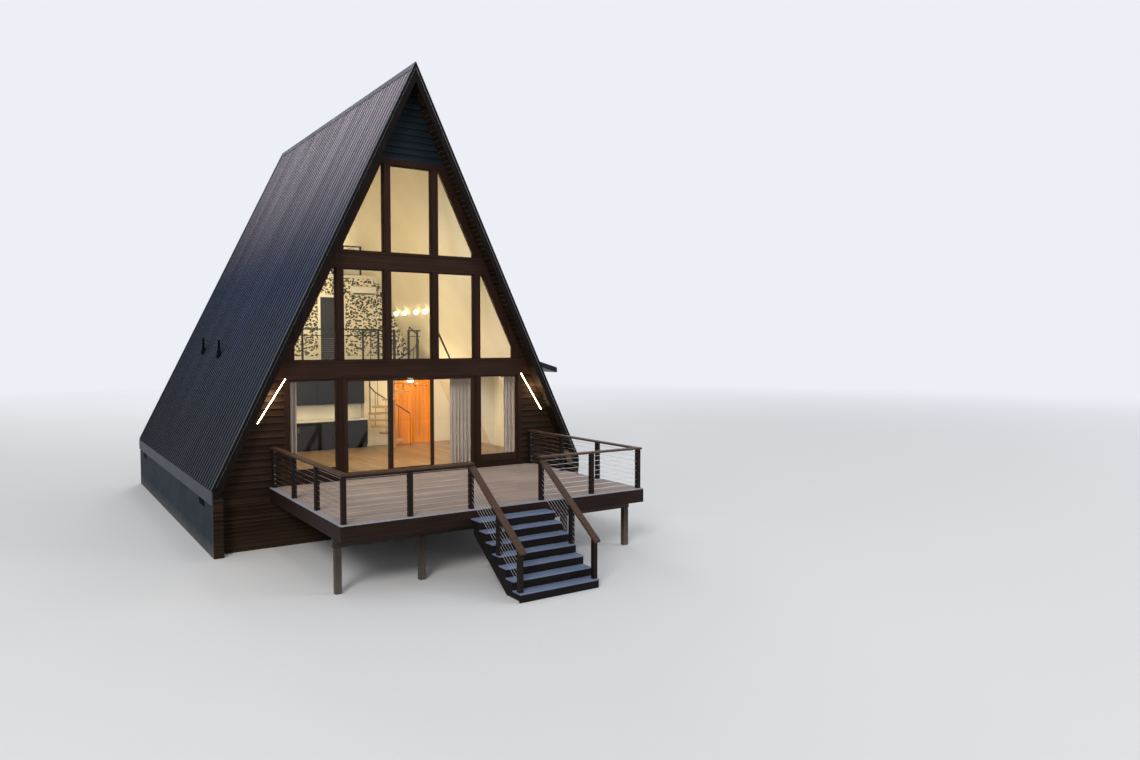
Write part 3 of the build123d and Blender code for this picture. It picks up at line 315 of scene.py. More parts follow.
def spread_value(tree, value, low, high, to_low, to_high, easing="LINEAR"):
    """Maps a value from one range to another, held at the ends."""
    settings = {"interpolation_type": easing}
    node = add_node(tree, "MapRange", settings, i0=value, i1=low, i2=high, i3=to_low, i4=to_high)
    return node.outputs[0]


def from_noise(tree, value, low, high):
    """Maps the range that a noise mostly keeps to, on to another."""
    return spread_value(tree, value, *NOISE_RANGE, low, high)


def shared_effect(name, inputs, build):
    """A node group with named sockets; a function builds its outputs from its inputs."""
    group = bpy.data.node_groups.new(name, "ShaderNodeTree")
    for socket, value in {"Position": (0, 0, 0), **inputs}.items():
        kind = "NodeSocketVector" if isinstance(value, tuple) else "NodeSocketFloat"
        made = group.interface.new_socket(socket, in_out="INPUT", socket_type=kind)
        made.default_value = value
    outputs = build(group, group.nodes.new("NodeGroupInput").outputs)
    for socket in outputs:
        group.interface.new_socket(socket, in_out="OUTPUT", socket_type="NodeSocketFloat")
    set_sockets(group, group.nodes.new("NodeGroupOutput"), **outputs)
    return group


def wood_grain(tree, given):
    """Long fibres and soft growth bands; Stretch is large across the grain, small along it."""
    shift = add_node(tree, "CombineXYZ", **dict.fromkeys("XYZ", given["Shift"])).outputs[0]
    moved = vector_maths(tree, "ADD", given["Position"], shift)
    scaled = vector_maths(tree, "MULTIPLY", moved, given["Stretch"])
    bands = noise(tree, scaled, 0.55, 3.0, Distortion=0.6)
    fibres = noise(tree, scaled, 4.0, 6.0, 0.65)
    tone = maths(tree, "MULTIPLY_ADD", bands, 0.6, maths(tree, "MULTIPLY", fibres, 0.4))
    return {"Tone": tone, "Height": fibres}


def weathering(tree, given):
    """Soft mottling, streaks drawn out along the small part of Run, and dust near the ground."""
    place = given["Position"]
    mottle = noise(tree, place, given["Mottle"], 4.0, 0.6)
    streaks = noise(tree, vector_maths(tree, "MULTIPLY", place, given["Run"]), 1.0, 5.0, 0.7)
    low = spread_value(tree, xyz(tree, place)["Z"], 0.0, given["Ground Dust"], 1.0, 0.0)
    return {"Mottle": mottle, "Streaks": streaks, "Dust": maths(tree, "MULTIPLY", low, mottle)}


def fine_speckle(tree, given):
    """The fine unevenness of rolled paint, powder coat and plaster."""
    place = given["Position"]
    return {"Height": noise(tree, place, given["Scale"], 3.0, 0.6),
            "Tone": noise(tree, place, 0.8, 2.0)}


def room_side(tree, given):
    """One where a point lies between two corners in plan, as a wall's room face does."""
    place, low, high = (xyz(tree, given[name]) for name in ("Position", "Low", "High"))
    within = [maths(tree, "MULTIPLY", maths(tree, "GREATER_THAN", place[axis], low[axis]),
                    maths(tree, "LESS_THAN", place[axis], high[axis])) for axis in "XY"]
    return {"Inside": maths(tree, "MULTIPLY", *within)}


WOOD_GRAIN = shared_effect("wood_grain", {"Stretch": (1, 30, 30), "Shift": 0.0}, wood_grain)
WEATHERING = shared_effect(
    "weathering", {"Mottle": 1.2, "Ground Dust": 0.6, "Run": (9.0, 9.0, 0.35)}, weathering)
FINE_SPECKLE = shared_effect("fine_speckle", {"Scale": 200.0}, fine_speckle)
ROOM_SIDE = shared_effect("room_side", {"Low": (0, 0, 0), "High": (0, 0, 0)}, room_side)
ALONG_X, ALONG_Y, ALONG_Z = (1.2, 34, 34), (34, 1.2, 34), (34, 34, 1.2)


# Finishes


GRAIN_SHIFT = 7.3
# Heights over which the roof's painted sky reflection blends in, first the middle colour, then the
# high one
SKY_REFLECTION_LEVELS = ((1.8, 7.0), (6.0, 11.3))
PAINT_SHADE = 0.06
LEAVES_PER_METRE = (11.0, 11.0, 15.0)


def finish(build):
    """Turns a function that fills in a shader into one that makes a named material."""
    def make(name, *given, **settings):
        material = bpy.data.materials.new(name)
        material.use_nodes = True
        tree = material.node_tree
        shader = next(n for n in tree.nodes if n.type == "BSDF_PRINCIPLED")
        position = tree.nodes.new("ShaderNodeTexCoord").outputs["Object"]
        build(tree, shader, position, *given, **settings)
        return material
    return make


def use_group(tree, group, position, **sockets):
    """The outputs of a shared effect at a position."""
    node = add_node(tree, "Group", {"node_tree": group}, Position=position, **sockets)
    return node.outputs


def board_tone(tree, amount):
    """The tone that each board was given, as a value either side of one."""
    return maths(tree, "MULTIPLY_ADD", attribute(tree, "board_tone"), amount, 1.0)


def complete(tree, shader, colour, roughness, height, strength, distance, **constants):
    """Gives a shader its colour, roughness, relief and plain constants."""
    relief = add_node(tree, "Bump", Height=height, Strength=strength, Distance=distance)
    set_sockets(tree, shader, Base_Color=colour, Roughness=roughness, Normal=relief.outputs[0],
                **constants)


def scaled_colour(tree, colour, factor):
    """A colour made lighter or darker by a factor."""
    settings = {"operation": "SCALE"}
    return add_node(tree, "VectorMath", settings, i0=colour, Scale=factor).outputs[0]


def painted_lap_light_and_shade(tree):
    """Painted highlight along a siding board's lower edge, painted shade under the next board's lap.
    """
    up = attribute(tree, "lap_height")
    # painted highlight near the board's lower edge, painted shade towards its top where the next
    # board's lap would shade it
    edge = spread_value(tree, up, 0.03, 0.18, 1.65, 1.05)
    return maths(tree, "MULTIPLY", edge, spread_value(tree, up, 0.45, 0.98, 1.0, 0.30))


@finish
def timber(tree, shader, position, dark, light, stretch, roughness=(0.45, 0.7), tone=0.18,
           relief=0.35, coat=0.0, gloss=0.5, laps=False, dust=0.0, dust_colour=(0.20, 0.17, 0.14)):
    """Stained or oiled boards: fibres along the grain, board to board tone and weathering."""
    shift = maths(tree, "MULTIPLY", attribute(tree, "board_tone"), GRAIN_SHIFT)
    grain = use_group(tree, WOOD_GRAIN, position, Stretch=stretch, Shift=shift)
    worn = use_group(tree, WEATHERING, position, Mottle=0.9)
    level = spread_value(tree, grain["Tone"], *GRAIN_RANGE, 0.0, 1.0)
    colour = scaled_colour(tree, blend_colour(tree, level, dark, light), board_tone(tree, tone))
    colour = scaled_colour(tree, colour, from_noise(tree, worn["Mottle"], 0.88, 1.1))
    # laps paints a highlight along each siding board's lower edge and shade under the next board's
    # lap
    if laps:
        colour = scaled_colour(tree, colour, painted_lap_light_and_shade(tree))
    if dust:
        amount = maths(tree, "MULTIPLY", worn["Dust"], dust, clamp=True)
        colour = blend_colour(tree, amount, colour, dust_colour)
    complete(tree, shader, colour, from_noise(tree, grain["Height"], *roughness), grain["Height"],
             relief, 0.0015, Coat_Weight=coat, Coat_Roughness=0.25, Specular_IOR_Level=gloss)


@finish
def coated_metal(tree, shader, position, colour, second, roughness=(0.28, 0.45), metallic=0.0,
                 streaks=0.4, gloss=0.5):
    """Factory-painted or powder-coated steel, with faint streaks and unevenness."""
    worn = use_group(tree, WEATHERING, position, Mottle=0.5)
    speckle = use_group(tree, FINE_SPECKLE, position, Scale=90.0)
    run = spread_value(tree, worn["Streaks"], *STREAK_RANGE, 0.0, streaks)
    shade = scaled_colour(tree, blend_colour(tree, run, colour, second), board_tone(tree, 0.06))
    complete(tree, shader, shade, from_noise(tree, worn["Mottle"], *roughness),
             speckle["Height"], 0.08, 0.001, Metallic=metallic, Specular_IOR_Level=gloss)


@finish
def roof_metal(tree, shader, position, low, middle, high):
    """Ribbed sheet's baked paint, streaked down the slope, with a painted sky reflection that pales
    it up the slope, painted highlights on the rib crests and painted shade on their flanks.
    """
    worn = use_group(tree, WEATHERING, position, Mottle=0.35, Run=(0.0, 2.4, 0.10))
    height = xyz(tree, position)["Z"]
    colour = low
    # the middle and high colours are a painted reflection of the evening sky, paler up the slope
    for reflected_sky, (start, end) in zip((middle, high), SKY_REFLECTION_LEVELS):
        level = spread_value(tree, height, start, end, 0.0, 1.0, "SMOOTHSTEP")
        colour = blend_colour(tree, level, colour, reflected_sky)
    # painted highlight on rib crests and painted shade on rib flanks, from each strip's rib_shade
    painted_fold_light = maths(tree, "ADD", attribute(tree, "rib_shade"), 1.0)
    for factor in (from_noise(tree, worn["Streaks"], 0.68, 1.36), board_tone(tree, 0.14), painted_fold_light):
        colour = scaled_colour(tree, colour, factor)
    complete(tree, shader, colour, from_noise(tree, worn["Mottle"], 0.42, 0.55),
             worn["Mottle"], 0.05, 0.004, Specular_IOR_Level=0.12)


@finish
def folded_trim(tree, shader, position, top, drop):
    """Trim bent from painted sheet: near black where it drops; where it lies on the roof it carries a
    painted sky reflection, paler up the slope.
    """
    worn = use_group(tree, WEATHERING, position, Mottle=0.5)
    facing = position.node.outputs["Normal"]
    end_face = maths(tree, "GREATER_THAN", maths(tree, "ABSOLUTE", xyz(tree, facing)["Y"]), 0.7)
    height = xyz(tree, position)["Z"]
    # painted sky reflection on the trim's top, paler up the slope
    sky_reflected_top = scaled_colour(tree, top, spread_value(tree, height, 3.0, 11.0, 0.55, 1.25))
    run = spread_value(tree, worn["Streaks"], *STREAK_RANGE, 0.85, 1.2)
    colour = scaled_colour(tree, blend_colour(tree, end_face, sky_reflected_top, drop), run)
    complete(tree, shader, colour, from_noise(tree, worn["Mottle"], 0.45, 0.6),
             worn["Mottle"], 0.05, 0.002, Specular_IOR_Level=0.1)


@finish
def painted(tree, shader, position, colour, roughness=(0.5, 0.65), relief=0.12, gloss=0.5):
    """Rolled or sprayed paint on boards and plaster."""
    speckle = use_group(tree, FINE_SPECKLE, position, Scale=160.0)
    level = from_noise(tree, speckle["Tone"], 1 - PAINT_SHADE, 1 + PAINT_SHADE)
    paint = scaled_colour(tree, colour, maths(tree, "MULTIPLY", level, board_tone(tree, 0.05)))
    complete(tree, shader, paint, from_noise(tree, speckle["Height"], *roughness),
             speckle["Height"], relief, 0.0008, Specular_IOR_Level=gloss)


@finish
def wall_both_sides(tree, shader, position, low, high, stain, paint):
    """Stain or bare board outside and in the reveals, plain paint on the room side."""
    inside = use_group(tree, ROOM_SIDE, position, Low=low, High=high)["Inside"]
    grain = use_group(tree, WOOD_GRAIN, position, Stretch=ALONG_X)
    outer = scaled_colour(tree, stain, spread_value(tree, grain["Tone"], *GRAIN_RANGE, 0.75, 1.25))
    relief = maths(tree, "MULTIPLY", grain["Height"], maths(tree, "SUBTRACT", 1.0, inside))
    complete(tree, shader, blend_colour(tree, inside, outer, paint), 0.6, relief, 0.3, 0.0015,
             Specular_IOR_Level=0.3)


def mixed_surface(tree, factor, first, second):
    """Shows a blend of two shaders as the material's surface."""
    choice = add_node(tree, "MixShader", i0=factor, i1=first.outputs[0], i2=second.outputs[0])
    output = next(n for n in tree.nodes if n.type == "OUTPUT_MATERIAL")
    set_sockets(tree, output, Surface=choice.outputs[0])


@finish
def clear_glass(tree, shader, position, tint):
    """Window glass that lets lamp light through as a thin pane does."""
    film = use_group(tree, FINE_SPECKLE, position, Scale=6.0)
    set_sockets(tree, shader, Base_Color=(*tint, 1), Transmission_Weight=1.0, IOR=1.3,
                Specular_IOR_Level=0.1,
                Roughness=spread_value(tree, film["Height"], 0.3, 0.8, 0.0, 0.03))
    ray = add_node(tree, "LightPath").outputs["Is Shadow Ray"]
    mixed_surface(tree, ray, shader, add_node(tree, "BsdfTransparent"))


@finish
def glowing(tree, shader, position, colour, light, strength):
    """An opal lamp that is lit from inside, a little brighter in its middle."""
    speckle = use_group(tree, FINE_SPECKLE, position, Scale=30.0)
    glow = scaled_colour(tree, light, from_noise(tree, speckle["Height"], 0.9, 1))
    set_sockets(tree, shader, Base_Color=(*colour, 1), Roughness=0.35, Emission_Strength=strength,
                Emission_Color=glow)


@finish
def concrete(tree, shader, position, dark, light):
    """Trowelled dark coating on concrete, dusty near the ground."""
    worn = use_group(tree, WEATHERING, position, Mottle=2.4, Ground_Dust=0.35)
    speckle = use_group(tree, FINE_SPECKLE, position, Scale=70.0)
    colour = blend_colour(tree, from_noise(tree, worn["Mottle"], 0, 1), dark, light)
    colour = blend_colour(tree, worn["Dust"], colour, (0.16, 0.15, 0.13))
    complete(tree, shader, colour, from_noise(tree, speckle["Height"], 0.8, 0.95),
             speckle["Height"], 0.5, 0.003, Specular_IOR_Level=0.2)


@finish
def leaf_paper(tree, shader, position):
    """Papered wall: dark leaf shapes scattered over an off-white ground."""
    bend = add_node(tree, "TexNoise", Vector=position, Scale=2.6, Detail=3.0).outputs["Color"]
    bent = vector_maths(tree, "MULTIPLY_ADD", bend, (0.25, 0.25, 0.25), i2=position)
    drawn = vector_maths(tree, "MULTIPLY", bent, LEAVES_PER_METRE)
    leaves = add_node(tree, "TexVoronoi", {"feature": "F1"}, Vector=drawn, Scale=1.0)
    veins = noise(tree, position, 20.0, 4.0, 0.7)
    edge = maths(tree, "ADD", leaves.outputs["Distance"], maths(tree, "MULTIPLY", veins, 0.5))
    mask = spread_value(tree, edge, 0.73, 0.78, 1.0, 0.0)
    ink = blend_colour(tree, veins, (0.004, 0.010, 0.007), (0.075, 0.09, 0.07))
    colour = blend_colour(tree, mask, (0.84, 0.78, 0.64), ink)
    complete(tree, shader, colour, 0.7, veins, 0.05, 0.0005)


def waves(tree, position, direction, scale):
    settings = {"bands_direction": direction}
    return add_node(tree, "TexWave", settings, Vector=position, Scale=scale).outputs["Fac"]


@finish
def curtain_cloth(tree, shader, position):
    """Soft grey-brown cloth with a plain weave."""
    weave = maths(tree, "ADD", waves(tree, position, "Z", 90.0), waves(tree, position, "X", 90.0))
    colour = blend_colour(tree, maths(tree, "MULTIPLY", weave, 0.5), (0.235, 0.18, 0.145),
                          (0.32, 0.245, 0.20))
    complete(tree, shader, colour, 0.9, weave, 0.1, 0.0006, Sheen_Weight=0.3)


@finish
def twisted_cable(tree, shader, position):
    """Stainless wire rope seen as fine slanting strands."""
    strands = waves(tree, position, "DIAGONAL", 55.0)
    speckle = use_group(tree, FINE_SPECKLE, position, Scale=40.0)
    colour = blend_colour(tree, from_noise(tree, speckle["Tone"], 0.0, 1.0), (0.55, 0.56, 0.58),
                          (0.72, 0.72, 0.72))
    complete(tree, shader, colour, 0.34, strands, 0.3, 0.0008, Metallic=1.0)


SIDING_STAIN = timber("siding_stain", (0.010, 0.005, 0.003), (0.032, 0.017, 0.010), ALONG_X,
                      roughness=(0.6, 0.8), tone=0.26, gloss=0.08, laps=True, dust=0.4,
                      dust_colour=(0.07, 0.05, 0.03))
CROSS_SIDING_STAIN = timber("cross_siding_stain", (0.010, 0.005, 0.003), (0.032, 0.017, 0.010),
                            ALONG_Y, roughness=(0.6, 0.8), tone=0.26, gloss=0.08, laps=True)
# The siding's stain made cooler and darker high in the gable: painted shade
PEAK_STAIN_AND_SHADE = timber("peak_siding_stain", (0.003, 0.006, 0.009), (0.010, 0.015, 0.021), ALONG_X,
                    roughness=(0.6, 0.8), tone=0.20, gloss=0.08, laps=True)
CASING_STAIN = timber("casing_stain", (0.012, 0.005, 0.003), (0.030, 0.012, 0.007), ALONG_Z,
                      roughness=(0.55, 0.75), gloss=0.1)
BELT_STAIN = timber("belt_stain", (0.016, 0.007, 0.004), (0.036, 0.016, 0.010), ALONG_X,
                    roughness=(0.55, 0.75), gloss=0.1)
FRAME_STAIN = timber("frame_stain", (0.016, 0.007, 0.003), (0.036, 0.016, 0.007), ALONG_Z,
                     roughness=(0.45, 0.6), relief=0.15, gloss=0.15)
RAKE_STAIN = timber("rake_stain", (0.004, 0.0035, 0.0035), (0.013, 0.009, 0.0075), (34, 34, 2.0),
                    roughness=(0.55, 0.75), gloss=0.05)
# Soffit boards: a dark stain, darkened further to near black as painted shade under the overhang
SOFFIT_STAIN_AND_SHADE = timber("soffit_stain", (0.006, 0.004, 0.003), (0.020, 0.011, 0.006), ALONG_Y,
                      roughness=(0.45, 0.6), tone=0.3, gloss=0.12)
DECKING = timber("decking", (0.28, 0.215, 0.185), (0.41, 0.325, 0.285), ALONG_X, tone=0.12,
                 roughness=(0.5, 0.7), gloss=0.3)
BORDER_DECKING = timber("border_decking", (0.225, 0.215, 0.235), (0.335, 0.320, 0.350), ALONG_Y,
                        tone=0.06, roughness=(0.5, 0.7), gloss=0.3)
TREAD_DECKING = timber("tread_decking", (0.112, 0.140, 0.22), (0.18, 0.225, 0.34), ALONG_X, tone=0.08,
                       roughness=(0.5, 0.7), gloss=0.25)
FASCIA_COMPOSITE = timber("fascia_composite", (0.010, 0.005, 0.004), (0.024, 0.012, 0.009), ALONG_X,
                          relief=0.25, gloss=0.1)
DECK_TIMBER = timber("deck_timber", (0.022, 0.014, 0.010), (0.055, 0.036, 0.026), ALONG_X, dust=0.4,
                     gloss=0.2)
POST_TIMBER = timber("post_timber", (0.026, 0.018, 0.014), (0.064, 0.044, 0.034), ALONG_Z, dust=0.6,
                     gloss=0.2)
RISER_BOARD = timber("riser_board", (0.005, 0.004, 0.004), (0.014, 0.010, 0.010), ALONG_X,
                     gloss=0.08)
RAIL_POST = timber("rail_post", (0.006, 0.004, 0.003), (0.016, 0.010, 0.008), ALONG_Z, relief=0.2,
                   gloss=0.12)
CAP_BOARD = timber("cap_board", (0.036, 0.017, 0.009), (0.072, 0.034, 0.017), ALONG_X, relief=0.2,
                   roughness=(0.4, 0.6), gloss=0.3)
SIDE_TRIM = timber("side_trim", (0.030, 0.034, 0.048), (0.056, 0.062, 0.082), ALONG_Y, dust=0.3,
                   gloss=0.2)
SLAB_COLOUR = (0.33, 0.25, 0.16)
SLAB_EDGE = timber("slab_edge", (0.24, 0.18, 0.11), (0.42, 0.33, 0.22), ALONG_Y)
OAK = timber("oak_tread", (0.42, 0.22, 0.07), (0.68, 0.41, 0.15), ALONG_X, roughness=(0.3, 0.45),
             relief=0.15, gloss=0.4)
OAK_POLE = timber("oak_pole", (0.30, 0.16, 0.07), (0.46, 0.27, 0.12), ALONG_Z,
                  roughness=(0.35, 0.5), relief=0.15, gloss=0.4)
FLOOR_OAK = timber("floor_planks", (0.22, 0.14, 0.08), (0.36, 0.24, 0.15), ALONG_Y, coat=0.1,
                   roughness=(0.35, 0.5), relief=0.15)
VARNISHED_PINE = timber("varnished_pine", (0.68, 0.19, 0.008), (0.92, 0.34, 0.025), ALONG_Z,
                        roughness=(0.35, 0.5), relief=0.15, tone=0.10, gloss=0.2)
# Roof paint: its own dark colour low down, then a painted sky reflection in blue and mauve up the
# slope
ROOF_STEEL = roof_metal("roof_steel", (0.010, 0.014, 0.025), (0.018, 0.031, 0.072),
                        (0.39, 0.345, 0.395))
# Rake trim: a painted sky reflection on its top, near black on its drop
ROOF_TRIM = folded_trim("roof_trim", (0.080, 0.086, 0.108), (0.003, 0.003, 0.004))
TRIM_STEEL = coated_metal("trim_steel", (0.010, 0.011, 0.014), (0.020, 0.022, 0.027), gloss=0.15)
# Pale grey on the dark trim's hem: a painted highlight
HEM_HIGHLIGHT_STEEL = coated_metal("hem_steel", (0.27, 0.28, 0.30), (0.38, 0.39, 0.41), gloss=0.3)
BLACK_COAT = coated_metal("black_coat", (0.008, 0.008, 0.009), (0.016, 0.016, 0.017),
                          roughness=(0.35, 0.5), gloss=0.3)
STAINLESS = coated_metal("stainless", (0.50, 0.50, 0.51), (0.62, 0.62, 0.62), metallic=1.0,
                         roughness=(0.25, 0.38))
BRASS = coated_metal("brass", (0.62, 0.42, 0.14), (0.72, 0.52, 0.22), metallic=1.0,
                     roughness=(0.22, 0.34), streaks=0.3)
VENT_RUBBER = coated_metal("vent_rubber", (0.003, 0.003, 0.004), (0.008, 0.008, 0.009),
                           roughness=(0.7, 0.9), gloss=0.05)
ROOM_COLOUR = (0.74, 0.68, 0.55)
ROOM_PAINT = painted("room_paint", ROOM_COLOUR)
WHITE_PAINT = painted("white_paint", (0.80, 0.78, 0.72), roughness=(0.35, 0.5))
CABINET_PAINT = painted("cabinet_paint", (0.014, 0.015, 0.017), roughness=(0.4, 0.5), gloss=0.15)
DOOR_PAINT = painted("door_paint", (0.026, 0.028, 0.030), roughness=(0.35, 0.5), gloss=0.2)
WHITE_PLASTIC = painted("white_plastic", (0.82, 0.81, 0.77), roughness=(0.3, 0.4), relief=0.04)
FOUNDATION_COAT = concrete("foundation_coat", (0.008, 0.014, 0.022), (0.021, 0.031, 0.045))
LEAF_PAPER = leaf_paper("leaf_paper")
CLEAR_GLASS = clear_glass("clear_glass", (0.97, 0.98, 0.97))
CURTAIN_CLOTH = curtain_cloth("curtain_cloth")
FACE_CLEAR = 0.001
GABLE_WALL = wall_both_sides("gable_wall", (-9, INNER_FRONT_Y - FACE_CLEAR, 0),
                             (9, INNER_BACK_Y + FACE_CLEAR, 0), (0.016, 0.010, 0.008), ROOM_COLOUR)
DORMER_WALL_THICKNESS = 0.12 - FACE_CLEAR
DORMER_ROOM = ((0, DORMER_LOW.y + DORMER_WALL_THICKNESS, 0),
               (DORMER_HIGH.x - DORMER_WALL_THICKNESS, DORMER_HIGH.y - DORMER_WALL_THICKNESS, 0))
DORMER_WALL = wall_both_sides("dormer_wall", *DORMER_ROOM, (0.016, 0.010, 0.008), ROOM_COLOUR)
DORMER_SLAB = wall_both_sides("dormer_slab", *DORMER_ROOM, SLAB_COLOUR, ROOM_COLOUR)
CABLE_WIRE = twisted_cable("cable_wire")
OPAL_GLASS = glowing("opal_glass", (0.9, 0.86, 0.78), (1.0, 0.80, 0.50), 6.0)
LIGHT_BAR = glowing("light_bar", (0.9, 0.88, 0.80), (1.0, 0.80, 0.45), 22.0)

CAD_FINISHES = (
    (SLAB_EDGE, 0, "roof_left"),
    (DORMER_SLAB, 0, "roof_right"),
    (ROOF_TRIM, 0, "roof_flashings"),
    (RAKE_STAIN, 0.003, "rake_fascias"),
    (TRIM_STEEL, 0.004, "dormer_roof"),
    (GABLE_WALL, 0, "front_wall_upper front_walls_beside_door back_wall"),
    (DORMER_WALL, 0, "dormer_walls"),
    (BELT_STAIN, 0.004, "belt_boards"),
    (FRAME_STAIN, 0.003, "window_frames door_frame"),
    (FRAME_STAIN, 0.004, "fixed_door_panels sliding_door_panel"),
    (CLEAR_GLASS, 0, "window_glass dormer_glass sliding_door_glass"),
    (FOUNDATION_COAT, 0.006, "foundation_side_walls"),
    (FOUNDATION_COAT, 0, "foundation_end_walls"),
    (SIDE_TRIM, 0.003, "side_trim_boards"),
    (FASCIA_COMPOSITE, 0.003, "deck_fascia"),
    (DECK_TIMBER, 0, "deck_joists"),
    (DECK_TIMBER, 0.004, "deck_beam"),
    (POST_TIMBER, 0.005, "deck_posts"),
    (RAIL_POST, 0.004, "railing_posts"),
    (CAP_BOARD, 0.005, "railing_caps"),
    (RISER_BOARD, 0.002, "stair_risers"),
    (RISER_BOARD, 0.003, "stair_stringers"),
    (ROOM_PAINT, 0, "roof_linings ground_partition"),
    (FLOOR_OAK, 0, "ground_floor"),
    (WHITE_PAINT, 0, "loft_floor upper_floor"),
    (BLACK_COAT, 0.002, "inside_guards"),
    (OAK, 0.004, "spiral_stair_treads"),
    (LEAF_PAPER, 0, "loft_partition"),
    (DOOR_PAINT, 0.003, "loft_door"),
    (CABINET_PAINT, 0, "kitchen_units"),
)
ROUND_CAD_FINISHES = (
    (CABLE_WIRE, 0, "deck_cables stair_cables"),
    (BLACK_COAT, 0, "spiral_stair_rail"),
    (WHITE_PLASTIC, 0, "air_unit"),
)


# Roof


PANEL_WIDTH = 0.9144
RIB_SPACING = PANEL_WIDTH / 4
FIRST_RIB = 0.046
RIB_BASE, RIB_CREST, RIB_HEIGHT = 0.058, 0.020, 0.0195
STIFFENER_BASE, STIFFENER_CREST, STIFFENER_HEIGHT = 0.026, 0.012, 0.0025
STIFFENER_OFFSET = 0.032
SHEET_THICKNESS = 0.0008
SHEET_ROWS = 6
SHEET_RIPPLE = 0.0006
SHEET_LAP = FIRST_RIB + RIB_BASE / 2 + 0.004
SHEET_LIFT, LAP_LIFT = 0.0005, 0.0003
DORMER_FALL = 0.30
SHEET_END = SLOPE_LENGTH - 0.002
# Painted highlight on the ribs' crests and painted shade on their flanks, as fractions of the sheet's
# colour
PAINTED_CREST_HIGHLIGHT, PAINTED_FLANK_SHADE = 0.80, -0.72
RIDGE_GAP = 0.06
DORMER_SHEET_TOP, DORMER_SHEET_END, DORMER_SHEET_SIDE = 0.05, 0.012, 0.004
SCREW_SPACING = 0.61
SCREW_OFFSET = 0.046
FIRST_SCREW, SCREW_END_GAP = 0.30, 0.05
SCREW_FOOT, SCREW_TIP = 0.001, 0.009
SCREW_WASHER = ((0.0085, 0), (0.0070, 0.0022))
SCREW_HEAD = ((0.0045, 0.0020), (0.0042, 0.0075))


def fold(middle, base, crest, height):
    """The four points of one fold pressed up out of a sheet."""
    return [(middle - base / 2, 0), (middle - crest / 2, height), (middle + crest / 2, height),
            (middle + base / 2, 0)]


def sheet_profile(y0, y1):
    """Points (y, height over the pan) of ribbed sheet between two edges."""
    marks = []
    index = 0
    while SHEET_FRONT_Y + FIRST_RIB + index * RIB_SPACING < SHEET_BACK_Y:
        rib = SHEET_FRONT_Y + FIRST_RIB + index * RIB_SPACING
        marks += fold(rib, RIB_BASE, RIB_CREST, RIB_HEIGHT)
        for offset in (RIB_SPACING / 2 - STIFFENER_OFFSET, RIB_SPACING / 2 + STIFFENER_OFFSET):
            marks += fold(rib + offset, STIFFENER_BASE, STIFFENER_CREST, STIFFENER_HEIGHT)
        index += 1
    inside = [(y, h) for y, h in marks if y0 + 1e-4 < y < y1 - 1e-4]
    return [(y0, 0)] + inside + [(y1, 0)]


def fold_shade(near, far):
    """How much a strip of sheet is painted lighter or darker than the pan, by its heights: a painted
    highlight on rib crests, painted shade on their flanks.
    """
    if max(near, far) < RIB_HEIGHT / 2:
        return 0.0
    return PAINTED_CREST_HIGHLIGHT if near == far else PAINTED_FLANK_SHADE


def sheet(bm, y0, y1, start, end, side, lift, place=slope_point):
    """One roof sheet as a thin closed shell, very slightly uneven down its length."""
    profile = sheet_profile(y0, y1)
    layers = []
    for thickness in (0, SHEET_THICKNESS):
        rows = []
        for row in range(SHEET_ROWS + 1):
            down = start + (end - start) * row / SHEET_ROWS
            ripple = 0 if row in (0, SHEET_ROWS) else SHUFFLE.uniform(-SHEET_RIPPLE, SHEET_RIPPLE)
            rows.append([bm.verts.new(place(
                down, PAN_DEPTH - h - lift - ripple * (h == 0) + thickness, y, side))
                for y, h in profile])
        layers.append(rows)
    top, under = layers
    faces = []

    def skin(*corners):
        faces.append(bm.faces.new(corners))
        return faces[-1]

    shade = bm.faces.layers.float["rib_shade"]
    last = len(profile) - 1
    for r in range(SHEET_ROWS):
        for k in range(last):
            strip = skin(top[r][k], top[r][k + 1], top[r + 1][k + 1], top[r + 1][k])
            strip[shade] = fold_shade(profile[k][1], profile[k + 1][1])
            skin(under[r][k], under[r + 1][k], under[r + 1][k + 1], under[r][k + 1])
        for k in (0, last):
            skin(top[r][k], top[r + 1][k], under[r + 1][k], under[r][k])
    for r in (0, SHEET_ROWS):
        for k in range(last):
            skin(top[r][k], under[r][k], under[r][k + 1], top[r][k + 1])
    toned(bm, faces)


def roof_sheets(side):
    """The sheets of one slope, lapped at every fourth rib, cut short over the dormer."""
    bm = new_mesh("rib_shade")
    front, back = DORMER_LOW.y, DORMER_HIGH.y
    edge = SHEET_FRONT_Y
    number = 0
    while edge < SHEET_BACK_Y:
        cuts = [max(SHEET_FRONT_Y, edge), min(SHEET_BACK_Y, edge + PANEL_WIDTH + SHEET_LAP)]
        if side > 0:
            cuts = sorted(cuts + [y for y in (front, back) if cuts[0] < y < cuts[1]])
        lift = SHEET_LIFT + LAP_LIFT * (number % 2)
        for a, b in zip(cuts, cuts[1:]):
            over_dormer = side > 0 and front <= (a + b) / 2 <= back
            sheet(bm, a, b, RIDGE_GAP, DORMER_REACH if over_dormer else SHEET_END, side, lift)
        edge += PANEL_WIDTH
        number += 1
    return bm


def dormer_point(along, depth, y, side):
    """A point some way down the dormer's roof, whose own face takes the place of the pan."""
    lo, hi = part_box("dormer_roof")
    tilt = math.atan(DORMER_FALL)
    out = PAN_DEPTH + 0.001 - depth
    return Vector((lo.x + along * math.cos(tilt) + out * math.sin(tilt), y,
                   hi.z - along * math.sin(tilt) + out * math.cos(tilt)))


